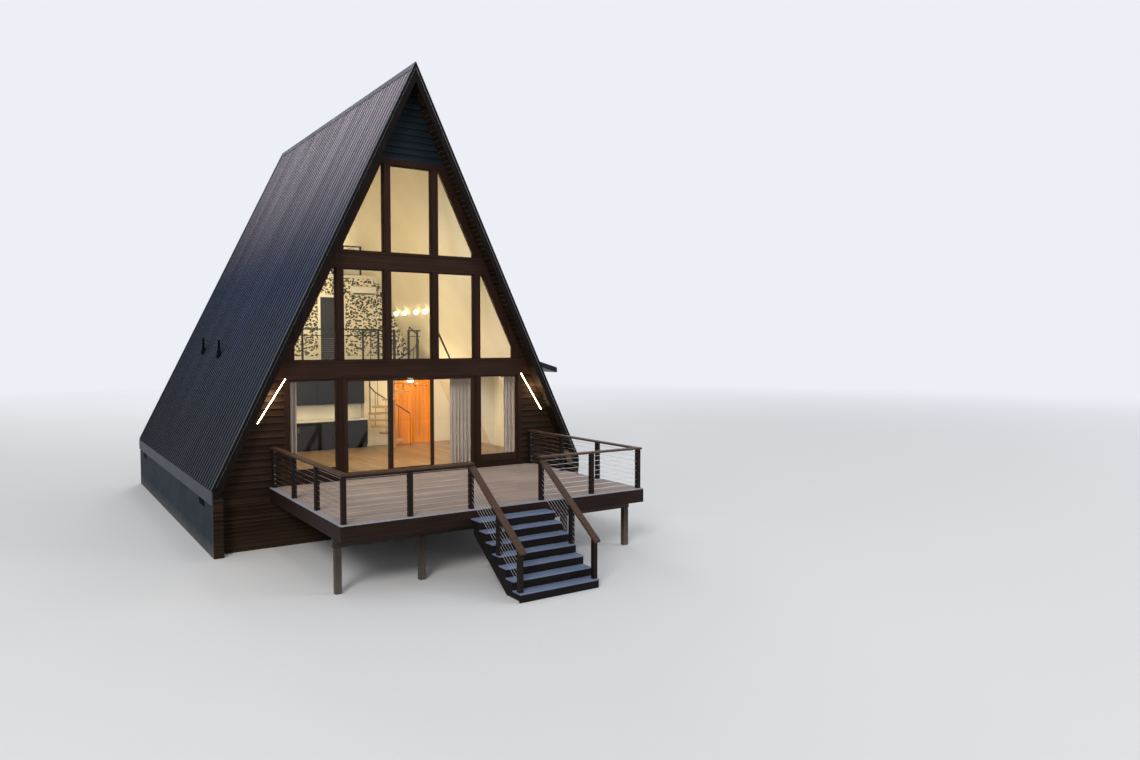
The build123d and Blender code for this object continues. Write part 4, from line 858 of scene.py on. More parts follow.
def dormer_sheet():
    bm = new_mesh("rib_shade")
    lo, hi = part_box("dormer_roof")
    length = math.hypot(1, DORMER_FALL) * (hi.x - lo.x)
    sheet(bm, lo.y + DORMER_SHEET_SIDE, hi.y - DORMER_SHEET_SIDE, DORMER_SHEET_TOP,
          length - DORMER_SHEET_END, 1, SHEET_LIFT, dormer_point)
    return bm


def screw_rows(side):
    """Screws with washers beside each rib, in rows down one slope."""
    bm = new_mesh()
    y = SHEET_FRONT_Y + FIRST_RIB + SCREW_OFFSET
    while y < SHEET_BACK_Y - SCREW_OFFSET:
        above_dormer = side > 0 and DORMER_LOW.y < y < DORMER_HIGH.y
        end = DORMER_REACH if above_dormer else SLOPE_LENGTH
        down = FIRST_SCREW
        while down < end - SCREW_END_GAP:
            foot, head = (slope_point(down, PAN_DEPTH - out, y, side)
                          for out in (SCREW_FOOT, SCREW_TIP))
            place = along(foot, head)
            turned(bm, SCREW_WASHER, place, 8)
            turned(bm, SCREW_HEAD, place, 6)
            down += SCREW_SPACING
        y += RIB_SPACING
    return bm


def roof():
    for side, word in ((-1, "left"), (1, "right")):
        piece(f"roof_sheets_{word}", roof_sheets(side), ROOF_STEEL,
              stands_for=[f"roof_metal_{word}"])
        piece(f"roof_screws_{word}", screw_rows(side), TRIM_STEEL)
    piece("dormer_roof_sheet", dormer_sheet(), ROOF_STEEL)
    rake_hems()
    soffit_boards()
    vent_pipes()


RAKE_BOARD = 0.045
HEM_DEPTH = 0.060
HEM_RADIUS = 0.007
HEM_START = 0.14


def rake_hems():
    """The folded lower edge of the rake trim, coloured pale grey as a painted highlight."""
    bm = new_mesh()
    for y in (RAKE_FRONT_Y + HEM_RADIUS, RAKE_BACK_Y - HEM_RADIUS - 0.0005):
        for side in (-1, 1):
            end = (HALF_SPAN - RAKE_BOARD) / COS
            rod(bm, slope_point(HEM_START, HEM_DEPTH, y, side), slope_point(end, HEM_DEPTH, y, side),
                HEM_RADIUS, 8)
    piece("rake_trim_hems", bm, HEM_HIGHLIGHT_STEEL, smooth=True)


SOFFIT_PITCH = 0.130
SOFFIT_GROOVE = 0.008
SOFFIT_TOP_GAP, SOFFIT_END_GAP = 0.02, 0.35
PIPE_RADIUS, PIPE_BORE = 0.033, 0.028
BOOT_SKIRT = ((0.095, -0.006), (0.095, -0.001), (0.085, 0.003), (0.07, 0.004))
BOOT_COLLAR = ((0.072, -0.08), (0.070, 0.02), (0.062, 0.05), (0.066, 0.062), (0.055, 0.075),
               (0.058, 0.088), (0.046, 0.10), (0.049, 0.112), (0.038, 0.125), (0.0345, 0.150))


def soffit_boards():
    """Grooved boards under the gable overhangs, laid along the house."""
    bm = new_mesh()
    top = SOFFIT_TOP_GAP + OVERHANG_DEPTH * TAN
    start = top + (SOFFIT_DEPTH - OVERHANG_DEPTH) * TAN
    end = SLOPE_LENGTH - SOFFIT_END_GAP
    for y0, y1 in ((RAKE_FRONT_Y + RAKE_BOARD, FRONT_Y), (BACK_Y, RAKE_BACK_Y - RAKE_BOARD)):
        for side in (-1, 1):
            for down, _ in courses(start, end, SOFFIT_PITCH, 0):
                far = min(end, down + SOFFIT_PITCH - SOFFIT_GROOVE)
                low = [slope_point(t, OVERHANG_DEPTH, y0, side) for t in (down, far)]
                low += [slope_point(t, SOFFIT_DEPTH - 0.001, y0, side) for t in (far, down)]
                prism(bm, low, [(p.x, y1, p.z) for p in low])
    piece("soffit_boards", bm, SOFFIT_STAIN_AND_SHADE, stands_for=["soffits"], bevel=0.002)


def vent_pipes():
    """Vent pipes in soft flared boots with a ribbed collar and a flat skirt."""
    bm = new_mesh()
    for points in solids_of("roof_vents"):
        top = max(p.z for p in points)
        crown = [p for p in points if p.z > top - 0.01]
        x, y = (sum(p[axis] for p in crown) / len(crown) for axis in (0, 1))
        foot_z = RIDGE_Z + x * TAN
        foot, height = Vector((x, y, foot_z)), top - foot_z
        turned(bm, BOOT_SKIRT, along(foot, foot + Vector((-SIN, 0, COS))), 28)
        upright = Matrix.Translation(foot)
        turned(bm, [(PIPE_RADIUS, -0.05), (PIPE_RADIUS, height), (PIPE_BORE, height),
                    (PIPE_BORE, height - 0.03)], upright, 24)
        turned(bm, BOOT_COLLAR, upright, 24)
    piece("vent_pipes", bm, VENT_RUBBER, stands_for=["roof_vents"], smooth=True)


# Gable walls


WALL_EXPOSURE = 0.160
SKIRT_EXPOSURE = 0.092
SIDING_FOOT, SKIRT_TOP = 0.004, 1.07
SHOULDER_Z = 1.30
UNDER_DECK_GAP = 0.05
PEAK_GAP = 0.60
LAP_BUTT, LAP_TOP = 0.021, 0.006
REAR_PIER_LAPS = (0.0055, 0.0015)
CASING_THICKNESS, PANEL_THICKNESS = 0.018, 0.012
HEAD_CASING = 0.140
CORNER_CASING = 0.110
TOUCH = 0.001
SHORTEST_EDGE = 0.004


def courses(low, high, exposure, least=0.02):
    """The two edges of each board from a low line up to a high one."""
    levels = [low]
    while levels[-1] < high - least:
        levels.append(min(high, levels[-1] + exposure))
    return list(zip(levels, levels[1:]))


def new_siding():
    bm = new_mesh()
    bm.verts.layers.float.new("lap_height")
    return bm


def mark_laps(bm, faces, low, high):
    """Notes on a siding board's corners how far up the board they are."""
    layer = bm.verts.layers.float["lap_height"]
    for face in faces:
        for vert in face.verts:
            vert[layer] = (vert.co.z - low) / (high - low)


def lap_siding(bm, wall, gaps, face_y, outward, rows, laps=(LAP_BUTT, LAP_TOP)):
    """Tapered boards over a wall outline, cut round the gaps and along sloping edges."""
    butt, thin = laps
    corners = [z for outline in [wall] + gaps for _, z in outline]
    for low, high in rows:
        cuts = sorted({low, high, *(z for z in corners if low + 0.002 < z < high - 0.002)})
        tone_state = SHUFFLE.random()
        for z0, z1 in zip(cuts, cuts[1:]):
            middle = (z0 + z1) / 2
            here = [g for g in gaps if extent(g, 1)[0] < middle < extent(g, 1)[1]]
            here.sort(key=lambda g: width_at(g, middle)[0])
            bounds0 = [v for g in here for v in width_at(g, z0)]
            bounds1 = [v for g in here for v in width_at(g, z1)]
            ends0, ends1 = width_at(wall, z0), width_at(wall, z1)
            lefts0, rights0 = [ends0[0]] + bounds0[1::2], bounds0[0::2] + [ends0[1]]
            lefts1, rights1 = [ends1[0]] + bounds1[1::2], bounds1[0::2] + [ends1[1]]
            for a0, b0, a1, b1 in zip(lefts0, rights0, lefts1, rights1):
                if b0 - a0 < 0.004 and b1 - a1 < 0.004:
                    continue
                b0, b1 = max(a0 + 0.0005, b0), max(a1 + 0.0005, b1)
                out0, out1 = (face_y + outward * (butt - (butt - thin) * (z - low) / (high - low))
                              for z in (z0, z1))
                SHUFFLE.seed(tone_state)
                faces = prism(
                    bm, [(a0, face_y, z0), (b0, face_y, z0), (b1, face_y, z1), (a1, face_y, z1)],
                    [(a0, out0, z0), (b0, out0, z0), (b1, out1, z1), (a1, out1, z1)])
                mark_laps(bm, faces, low, high)
        SHUFFLE.seed(tone_state + low)


def gable_band(z0, z1):
    """The part of a gable between two levels, as wide as the soffits leave it."""
    low, high = slope_x(z0, SOFFIT_DEPTH), max(0.001, slope_x(z1, SOFFIT_DEPTH))
    return [(-low, z0), (low, z0), (high, z1), (-high, z1)]


def siding_rows(top):
    """Courses from the ground up: narrow on the skirt, wide above it."""
    skirt = courses(SIDING_FOOT, SKIRT_TOP, SKIRT_EXPOSURE)
    return skirt + courses(SKIRT_TOP, top, WALL_EXPOSURE)


def in_wall(node, face_y):
    """The solids of a CAD node that stand in the wall with this outer face."""
    return [s for s in solids_of(node) if abs(extent(s, 1)[0] - face_y) < 0.5]


def ground_casings(casing, ground, face_y, outward, top):
    """Boards round the windows beside the door; returns the gaps they leave for siding."""
    far, panel = (face_y + outward * thick for thick in (CASING_THICKNESS, PANEL_THICKNESS))
    gaps = []
    for window in ground:
        (x0, x1), (z0, z1) = extent(window, 0), extent(window, 1)
        inner, outer = (x1, x0) if x0 < 0 else (x0, x1)
        turn = 1 if outer > 0 else -1
        corner = rectangle(*sorted((outer, outer + turn * CORNER_CASING)), FLOOR_Z, top)
        plate(casing, corner, face_y, far)
        gaps.append(corner)
        if outward < 0:
            door_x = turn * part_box("door_frame")[1].x
            plate(casing, rectangle(*sorted((door_x, inner)), FLOOR_Z, top), face_y, far)
        for low, high in ((FLOOR_Z, z0), (z1, top)):
            plate(casing, rectangle(x0, x1, low, high), face_y, panel)
    if outward < 0:
        reach = max(abs(v) for f in ground for v in extent(f, 0))
        return gaps + [rectangle(-reach, reach, FLOOR_Z, top)]
    return gaps + [rectangle(*extent(window, 0), FLOOR_Z, top) for window in ground]


def gable_details(name, face_y, outward):
    """Siding and casings of one gable, set out from its frames, belts and door."""
    frames = [face_outline(s) for s in in_wall("window_frames", face_y)]
    frames.sort(key=lambda f: (round(extent(f, 1)[0], 1), extent(f, 0)[0]))
    (belt0, ledge0), (belt1, ledge1) = sorted(extent(s, 2) for s in in_wall("belt_boards", face_y))
    ground, row_two, row_three = (
        [f for f in frames if low < extent(f, 1)[0] < high]
        for low, high in ((0, belt0), (belt0, belt1), (belt1, RIDGE_Z)))
    head = max(extent(f, 1)[1] for f in row_three)
    top = head + HEAD_CASING
    far = face_y + outward * CASING_THICKNESS

    casing = new_mesh()
    for row, low, high in ((row_two, ledge0, belt1), (row_three, ledge1, head)):
        for a, b in zip(row, row[1:]):
            plate(casing, rectangle(extent(a, 0)[1], extent(b, 0)[0], low, high), face_y, far)
        slanting_casing(casing, row[-1], low, high, face_y, far)
    plate(casing, gable_band(head, top), face_y, far)
    levels = (belt0, ledge0, belt1, ledge1, top)
    gaps = [gable_band(low, high) for low, high in zip(levels, levels[1:])]
    gaps += ground_casings(casing, ground, face_y, outward, belt0)
    piece(name + "_casings", casing, CASING_STAIN, bevel=0.003)

    siding, peak = new_siding(), new_siding()
    side_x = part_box("foundation_end_walls")[1].x
    wall = [(-side_x, 0), (side_x, 0), (side_x, SHOULDER_Z),
            (slope_x(SHOULDER_Z, SOFFIT_DEPTH), SHOULDER_Z), (0, RIDGE_Z - SOFFIT_DEPTH / COS)]
    wall += [(-x, z) for x, z in wall[3:1:-1]]
    if outward < 0:
        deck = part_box("deck_boards")
        under_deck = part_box("deck_joists")[0].z - UNDER_DECK_GAP
        gaps.append(rectangle(deck[0].x, deck[1].x, under_deck, FLOOR_Z))
    lap_siding(siding, wall, gaps, face_y, outward, siding_rows(belt0))
    pier_siding(siding, outward)
    piece(name + "_siding", siding, SIDING_STAIN)
    peak_rows = courses(top, RIDGE_Z - PEAK_GAP, WALL_EXPOSURE)
    lap_siding(peak, wall, [], face_y, outward, peak_rows)
    piece(name + "_peak_siding", peak, PEAK_STAIN_AND_SHADE)


def pier_siding(bm, outward):
    """Siding round the end of each side wall, where it stands forward of the gable."""
    lo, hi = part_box("foundation_side_walls")
    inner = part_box("ground_floor")[1].x
    front = outward < 0
    end_y, wall_y = (lo.y, FRONT_Y) if front else (hi.y, BACK_Y)
    laps = (LAP_BUTT, LAP_TOP) if front else REAR_PIER_LAPS
    rows = siding_rows(hi.z)
    for sign in (-1, 1):
        face = sign * inner
        end = rectangle(*sorted((face, sign * hi.x)), 0, hi.z)
        lap_siding(bm, end, [], end_y, outward, rows, laps)
        foot, head = (sign * (inner - thick) for thick in (LAP_BUTT, LAP_TOP))
        for low, high in rows:
            across = [(face, low), (foot, low), (head, high), (face, high)]
            faces = plate(bm, across, *sorted((end_y, wall_y + outward * LAP_BUTT)))
            mark_laps(bm, faces, low, high)


def slanting_casing(bm, frame_outline, low, high, face_y, far):
    """The boards between the last pane's frame and the soffit, both sides."""
    (left, right), (_, frame_top) = extent(frame_outline, 0), extent(frame_outline, 1)
    chain = sorted((p for p in frame_outline if p[0] > left + 0.02), key=lambda p: p[1])
    edge = [(x, max(low, min(high, z))) for x, z in chain]
    top_x = width_at(frame_outline, min(high, frame_top) - TOUCH)[1]
    if edge[-1][1] < high - TOUCH or edge[-1][0] > top_x + TOUCH:
        edge.append((top_x, high))
    edge = [(slope_x(high, SOFFIT_DEPTH), high), (slope_x(low, SOFFIT_DEPTH), low),
            (right, low)] + edge
    outline = [edge[0]]
    for point in edge[1:]:
        if math.dist(point, outline[-1]) > SHORTEST_EDGE:
            outline.append(point)
    for sign in (-1, 1):
        plate(bm, [(sign * x, z) for x, z in outline], face_y, far)


DORMER_CORNER = 0.090
DORMER_TRIM = 0.026
DORMER_SASH, DORMER_BEAD = 0.045, 0.025
DORMER_CASING, DORMER_SILL = 0.075, 0.035
SILL_REACH, SILL_OUT, APRON_IN = 0.015, 0.020, 0.004


def dormer_head(x):
    """Height of the underside of the dormer's roof."""
    return DORMER_HIGH.z - (x - DORMER_LOW.x) * DORMER_FALL - 0.0005


def dormer_foot(x):
    """Height of the roof sheets beside the dormer."""
    return RIDGE_Z - PAN_DEPTH / COS - x * TAN


def dormer_front(base, cased):
    """Lapped boards round the cased window of the dormer's front."""
    bm = new_siding()
    top = dormer_head(DORMER_HIGH.x + LAP_BUTT)
    wall = rectangle(DORMER_LOW.y + DORMER_CORNER, DORMER_HIGH.y - DORMER_CORNER, base, top)
    lap_siding(bm, wall, [cased], DORMER_HIGH.x, 1, courses(base, top, WALL_EXPOSURE))
    for vert in bm.verts:
        vert.co = vert.co.yxz
    piece("dormer_front_siding", bm, CROSS_SIDING_STAIN)


def dormer_sides(casing, base, face, out):
    """Siding and corner boards of the dormer's two side walls."""
    cheeks = new_siding()
    edge = face - DORMER_CORNER
    top_x = ((dormer_foot(0) - DORMER_HIGH.z - DORMER_FALL * DORMER_LOW.x) / (TAN - DORMER_FALL))
    cheek = [(edge, dormer_foot(edge)), (edge, dormer_head(edge)), (top_x, dormer_foot(top_x))]
    low_end, high_end = extent(cheek, 1)
    rows = [(max(low, low_end), min(high, high_end))
            for low, high in courses(base, high_end, WALL_EXPOSURE) if high > low_end + 0.01]
    for y, outward in ((DORMER_LOW.y, -1), (DORMER_HIGH.y, 1)):
        lap_siding(cheeks, cheek, [], y, outward, rows)
        corner = [(edge, dormer_foot(edge)), (out, dormer_foot(out)), (out, dormer_head(out)),
                  (edge, dormer_head(edge))]
        plate(casing, corner, *sorted((y, y + outward * DORMER_TRIM)))
        leg = [(face, base), (out, base), (out, dormer_head(out)), (face, dormer_head(face))]
        plate(casing, leg, *sorted((y, y - outward * DORMER_CORNER)))
    piece("dormer_cheek_siding", cheeks, SIDING_STAIN)


def dormer_details():
    """Siding, corner boards, window casings and beads of the dormer."""
    face, out = DORMER_HIGH.x, DORMER_HIGH.x + DORMER_TRIM
    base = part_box("side_trim_boards")[1].z + SIDING_FOOT
    glass_low, glass_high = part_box("dormer_glass")
    a, b, low, high = glass_low.y, glass_high.y, glass_low.z, glass_high.z
    outer_a, outer_b = a - DORMER_CASING, b + DORMER_CASING
    foot, sill, head = low - DORMER_CASING, low - DORMER_SILL, high + DORMER_CASING
    casing, beads = new_mesh(), new_mesh()
    dormer_front(base, rectangle(outer_a, outer_b, foot, head))
    dormer_sides(casing, base, face, out)
    for y0, y1, z0, z1, x in (
            (outer_a, a, low, high, out), (b, outer_b, low, high, out),
            (outer_a, outer_b, high, head, out), (outer_a, outer_b, foot, sill, out - APRON_IN),
            (outer_a - SILL_REACH, outer_b + SILL_REACH, sill, low, out + SILL_OUT)):
        board(casing, (face, y0, z0), (x, y1, z1))
    piece("dormer_casings", casing, CASING_STAIN, bevel=0.003)

    inner_a, inner_b = a + DORMER_SASH, b - DORMER_SASH
    for x0, x1 in ((glass_high.x + TOUCH, glass_high.x + DORMER_BEAD),
                   (glass_low.x - DORMER_BEAD, glass_low.x - TOUCH)):
        for y0, y1, z0, z1 in (
                (a, inner_a, low, high), (inner_b, b, low, high),
                (inner_a, inner_b, low, low + DORMER_SASH),
                (inner_a, inner_b, high - DORMER_SASH, high)):
            board(beads, (x0, y0, z0), (x1, y1, z1))
    piece("dormer_window_beads", beads, FRAME_STAIN, bevel=0.002)


LIGHT_BAR_ENDS = ((3.10, 3.82), (3.73, 2.83))
CHANNEL_OUT, TUBE_OUT, BRACKET_END = 0.030, 0.014, 0.004
CHANNEL_RADIUS, TUBE_RADIUS, BRACKET_RADIUS = 0.016, 0.011, 0.008
BRACKETS = (0.1, 0.5, 0.9)


def light_bars():
    """A plain warm light tube in a black channel on each side of the front gable."""
    channels, tubes = new_mesh(), new_mesh()
    y = FRONT_Y - CHANNEL_OUT
    forward = Vector((0, -TUBE_OUT, 0))
    for sign in (-1, 1):
        start, end = (Vector((sign * x, y, z)) for x, z in LIGHT_BAR_ENDS)
        rod(tubes, start + forward, end + forward, TUBE_RADIUS, 12)
        rod(channels, start, end, CHANNEL_RADIUS, 6)
        for t in BRACKETS:
            spot = start.lerp(end, t)
            rod(channels, spot, (spot.x, FRONT_Y - BRACKET_END, spot.z), BRACKET_RADIUS, 8)
    piece("light_bar_channels", channels, BLACK_COAT, bevel=0.001)
    piece("light_bar_tubes", tubes, LIGHT_BAR, smooth=True)


CRAWL_VENT_PLACES = (0.50, 9.78)
CRAWL_VENT_LENGTH, CRAWL_VENT_LOW, CRAWL_VENT_HIGH = 0.50, 0.995, 1.135
VENT_RIM, VENT_PROUD, VENT_BACK = 0.014, 0.016, 0.002
VENT_BLADES, BLADE_SPACING, BLADE_PROUD = 4, 0.0255, 0.013
FIRST_BLADE, BLADE_FALL, BLADE_THICKNESS = 0.020, 0.012, 0.003


def crawl_vents():
    """Louvred black vents in the side walls, right under the trim boards."""
    bm = new_mesh()
    wall_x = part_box("foundation_side_walls")[1].x
    low, high = CRAWL_VENT_LOW, CRAWL_VENT_HIGH
    inner_low, inner_high = low + VENT_RIM, high - VENT_RIM
    for side in (-1, 1):
        face, out, back, front = (
            side * (wall_x + proud) for proud in (0, VENT_PROUD, VENT_BACK, BLADE_PROUD))
        for y in CRAWL_VENT_PLACES:
            far = y + CRAWL_VENT_LENGTH
            inner, inner_far = y + VENT_RIM, far - VENT_RIM
            for x, a, b, c, d in (
                    (out, y, far, low, inner_low), (out, y, far, inner_high, high),
                    (out, y, inner, inner_low, inner_high),
                    (out, inner_far, far, inner_low, inner_high),
                    (back, inner, inner_far, inner_low, inner_high)):
                board(bm, (min(face, x), a, c), (max(face, x), b, d))
            for k in range(VENT_BLADES):
                z = low + FIRST_BLADE + k * BLADE_SPACING
                blade = [(back, z + BLADE_FALL), (front, z), (front, z + BLADE_THICKNESS),
                         (back, z + BLADE_FALL + BLADE_THICKNESS)]
                plate(bm, blade, inner, inner_far)
    piece("crawl_space_vents", bm, VENT_RUBBER)


def walls():
    gable_details("front", FRONT_Y, -1)
    gable_details("back", BACK_Y, 1)
    dormer_details()
    light_bars()
    crawl_vents()


# Deck, railing and stair


DECK_BOARD = 0.140
DECK_GAP = 0.006
DECK_SPLITS, DECK_SPLIT_GAP = (-1.6, 1.6), 0.002


def deck_surface():
    """Mitred border boards round a field of boards, each row split at a chance place."""
    lo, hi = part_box("deck_boards")
    border, boards = new_mesh(), new_mesh()
    edge = DECK_BOARD
    slab(border, [(lo.x, lo.y), (hi.x, lo.y), (hi.x - edge, lo.y + edge),
                  (lo.x + edge, lo.y + edge)], lo.z, hi.z)
    for sign, x in ((1, lo.x), (-1, hi.x)):
        inner = x + sign * (edge - DECK_GAP)
        slab(border, [(x, lo.y + DECK_GAP), (inner, lo.y + edge), (inner, hi.y), (x, hi.y)],
             lo.z, hi.z)
    depth = hi.y - lo.y - edge
    count = round(depth / (DECK_BOARD + DECK_GAP))
    pitch = depth / count
    for i in range(count):
        y = lo.y + edge + i * pitch
        split = SHUFFLE.uniform(*DECK_SPLITS)
        for x0, x1 in ((lo.x + edge, split - DECK_SPLIT_GAP / 2),
                       (split + DECK_SPLIT_GAP / 2, hi.x - edge)):
            board(boards, (x0, y + DECK_GAP, lo.z), (x1, y + pitch, hi.z))
    piece("deck_border_boards", border, BORDER_DECKING, stands_for=["deck_boards"],
          bevel=0.004)
    piece("deck_floor_boards", boards, DECKING, stands_for=["deck_boards"],
          bevel=0.003)


def stair_steps():
    bm = new_mesh()
    for points in solids_of("stair_treads"):
        (x0, x1), (y0, y1), (z0, z1) = spans(points)
        front = min(y0 + DECK_BOARD, y1)
        board(bm, (x0, y0, z0), (x1, front - DECK_GAP / 2, z1))
        board(bm, (x0, front + DECK_GAP / 2, z0), (x1, y1, z1))
    piece("stair_tread_boards", bm, TREAD_DECKING, stands_for=["stair_treads"],
          bevel=0.005)


THROUGH_POST = 0.16
CABLE_SLEEVE = ((0.010, 0), (0.010, 0.002), (0.0055, 0.003), (0.0055, 0.030), (0.004, 0.038))


def cable_ends():
    """The two end points of every railing cable, with the axis it mostly runs along."""
    found = []
    for points in solids_of("deck_cables") + solids_of("stair_cables"):
        ranges = spans(points)
        axis = max((0, 1), key=lambda k: ranges[k][1] - ranges[k][0])
        ends = []
        for value in ranges[axis]:
            near = [p for p in points if abs(p[axis] - value) < 0.005]
            ends.append(sum(near, Vector()) / len(near))
        found.append((axis, *ends))
    return found


def cable_fittings():
    """Swaged sleeves and washers at the two posts that hold each run of cable."""
    bm = new_mesh()
    cables = cable_ends()
    all_ends = [(axis, end) for axis, a, b in cables for end in (a, b)]
    for axis, first, last in cables:
        for a, b in ((first, last), (last, first)):
            carries_on = any(other_axis == axis and 0.001 < (end - a).length < THROUGH_POST
                             and (end - a).dot(b - a) < 0 for other_axis, end in all_ends)
            if not carries_on:
                turned(bm, CABLE_SLEEVE, along(a, b), 10)
    piece("cable_fittings", bm, STAINLESS, smooth=True)


def deck_and_stair():
    deck_surface()
    stair_steps()
    cable_fittings()


# Rooms


PLANK_WIDTH, PLANK_LENGTHS, PLANK_GAP = 0.14, (1.2, 2.4), 0.0008
PLANK_BASE, PLANK_TOP, PLANKS_FROM_EDGE = 0.0002, 0.004, 0.35
WOOD_WALL_BOARD, WOOD_WALL_GAP = 0.145, 0.003
PEGS, FIRST_PEG, PEG_SPACING, PEG_HEIGHT = 6, 0.22, 0.2, 1.86
PEG_RADIUS, PEG_OUT, PEG_RISE = 0.009, 0.07, 0.02
PEG_KNOB = ((0.006, 0), (0.017, 0.006), (0.017, 0.014), (0.010, 0.018))


def floor_planks():
    """Thin planks laid over the ground floor, end joints staggered."""
    bm = new_mesh()
    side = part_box("ground_floor")[1].x - PLANKS_FROM_EDGE
    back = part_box("ground_partition")[0].y
    for x, far in courses(-side, side, PLANK_WIDTH, 0.01):
        y = INNER_FRONT_Y
        while y < back - 0.01:
            end = min(back, y + SHUFFLE.uniform(*PLANK_LENGTHS))
            board(bm, (x + PLANK_GAP, y + PLANK_GAP, FLOOR_Z + PLANK_BASE),
                  (far - PLANK_GAP, end - PLANK_GAP, FLOOR_Z + PLANK_TOP))
            y = end
    piece("ground_planks", bm, FLOOR_OAK)


def wood_wall():
    """Varnished boards with a row of coat pegs."""
    lo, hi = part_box("wood_wall_boards")
    bm, pegs = new_mesh(), new_mesh()
    for x, far in courses(lo.x, hi.x, WOOD_WALL_BOARD, 0.01):
        board(bm, (x, lo.y, lo.z), (far - WOOD_WALL_GAP, hi.y, hi.z))
    piece("wood_wall_planks", bm, VARNISHED_PINE, stands_for=["wood_wall_boards"],
          bevel=0.002)
    z = FLOOR_Z + PEG_HEIGHT
    for k in range(PEGS):
        x = lo.x + FIRST_PEG + PEG_SPACING * k
        rod(pegs, (x, lo.y, z), (x, lo.y - PEG_OUT, z + PEG_RISE), PEG_RADIUS, 10)
        turned(pegs, PEG_KNOB, along((x, lo.y - 0.066, z + 0.019), (x, lo.y - 0.1, z + 0.029)), 14)
    piece("wall_pegs", pegs, BLACK_COAT, smooth=True)


STAIRWELL_LEFT, STAIRWELL_BACK = 0.86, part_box("loft_floor")[0].y + 1.29
GUARD_CABLES = 10
FIRST_GUARD_CABLE, GUARD_CABLE_SPACING = 0.10, 0.062
GUARD_CABLE_RADIUS = 0.0025
END_BAR_WIDTH = 0.045


def guard_cables():
    """Level steel cables under the middle rail of each inside guard."""
    bm = new_mesh()
    for points in solids_of("inside_guards"):
        ranges = spans(points)
        axis = 0 if ranges[0][1] - ranges[0][0] > ranges[1][1] - ranges[1][0] else 1
        middle = sum(ranges[1 - axis]) / 2
        for k in range(GUARD_CABLES):
            ends = []
            for value in ranges[axis]:
                end = [0, 0, ranges[2][0] + FIRST_GUARD_CABLE + k * GUARD_CABLE_SPACING]
                end[axis], end[1 - axis] = value, middle
                ends.append(end)
            rod(bm, *ends, GUARD_CABLE_RADIUS, 6)
    piece("guard_cables", bm, CABLE_WIRE, smooth=True)


NEWEL_RADIUS, NEWEL_COLLAR, POLE_EASING = 0.026, 0.010, 0.008


def spiral_pole():
    """The stair's oak pole up to the loft, with a thin dark newel standing on it."""
    lo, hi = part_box("spiral_stair_pole")
    middle, radius = (lo + hi) / 2, (hi.x - lo.x) / 2
    rise = LOFT_Z - lo.z
    oak, newel = new_mesh(), new_mesh()
    turned(oak, [(radius, 0), (radius, rise - 0.02), (radius - POLE_EASING, rise)],
           Matrix.Translation((middle.x, middle.y, lo.z)), 32)
    cap = hi.z - LOFT_Z
    turned(newel, [(radius - NEWEL_COLLAR, 0), (radius - NEWEL_COLLAR, 0.008), (NEWEL_RADIUS, 0.014),
                   (NEWEL_RADIUS, cap - 0.03), (NEWEL_RADIUS + NEWEL_COLLAR, cap - 0.025),
                   (NEWEL_RADIUS + NEWEL_COLLAR, cap - 0.006), (NEWEL_RADIUS, cap)],
           Matrix.Translation((middle.x, middle.y, LOFT_Z)), 24)
    piece("spiral_pole_oak", oak, OAK_POLE, stands_for=["spiral_stair_pole"],
          smooth=True)
    piece("spiral_newel", newel, BLACK_COAT, stands_for=["spiral_stair_pole"],
          smooth=True)


def guard_end_bars():
    """Flat bars that lean with the linings at both ends of the front guard."""
    front = min(solids_of("inside_guards"), key=lambda s: extent(s, 1)[0])
    (y0, y1), (low, high) = extent(front, 1), extent(front, 2)
    bm = new_mesh()
    for side in (-1, 1):
        foot, head = (slope_x(z, LINING_DEPTH) for z in (low, high))
        bar = [(side * (foot - END_BAR_WIDTH), low), (side * foot, low), (side * head, high),
               (side * (head - END_BAR_WIDTH), high)]
        plate(bm, bar, y0, y1)
    piece("guard_end_bars", bm, BLACK_COAT, bevel=0.002)


EDGE_BAND, LOFT_BAND = 0.105, 0.20
DOOR_CASING, WHITE_TRIM = 0.085, 0.016
SKIRTING, SKIRTING_HEIGHT, SKIRTING_GAP = 0.012, 0.11, 0.09
DOOR_KNOB = ((0.012, 0), (0.012, 0.03), (0.026, 0.04), (0.029, 0.055), (0.020, 0.068))


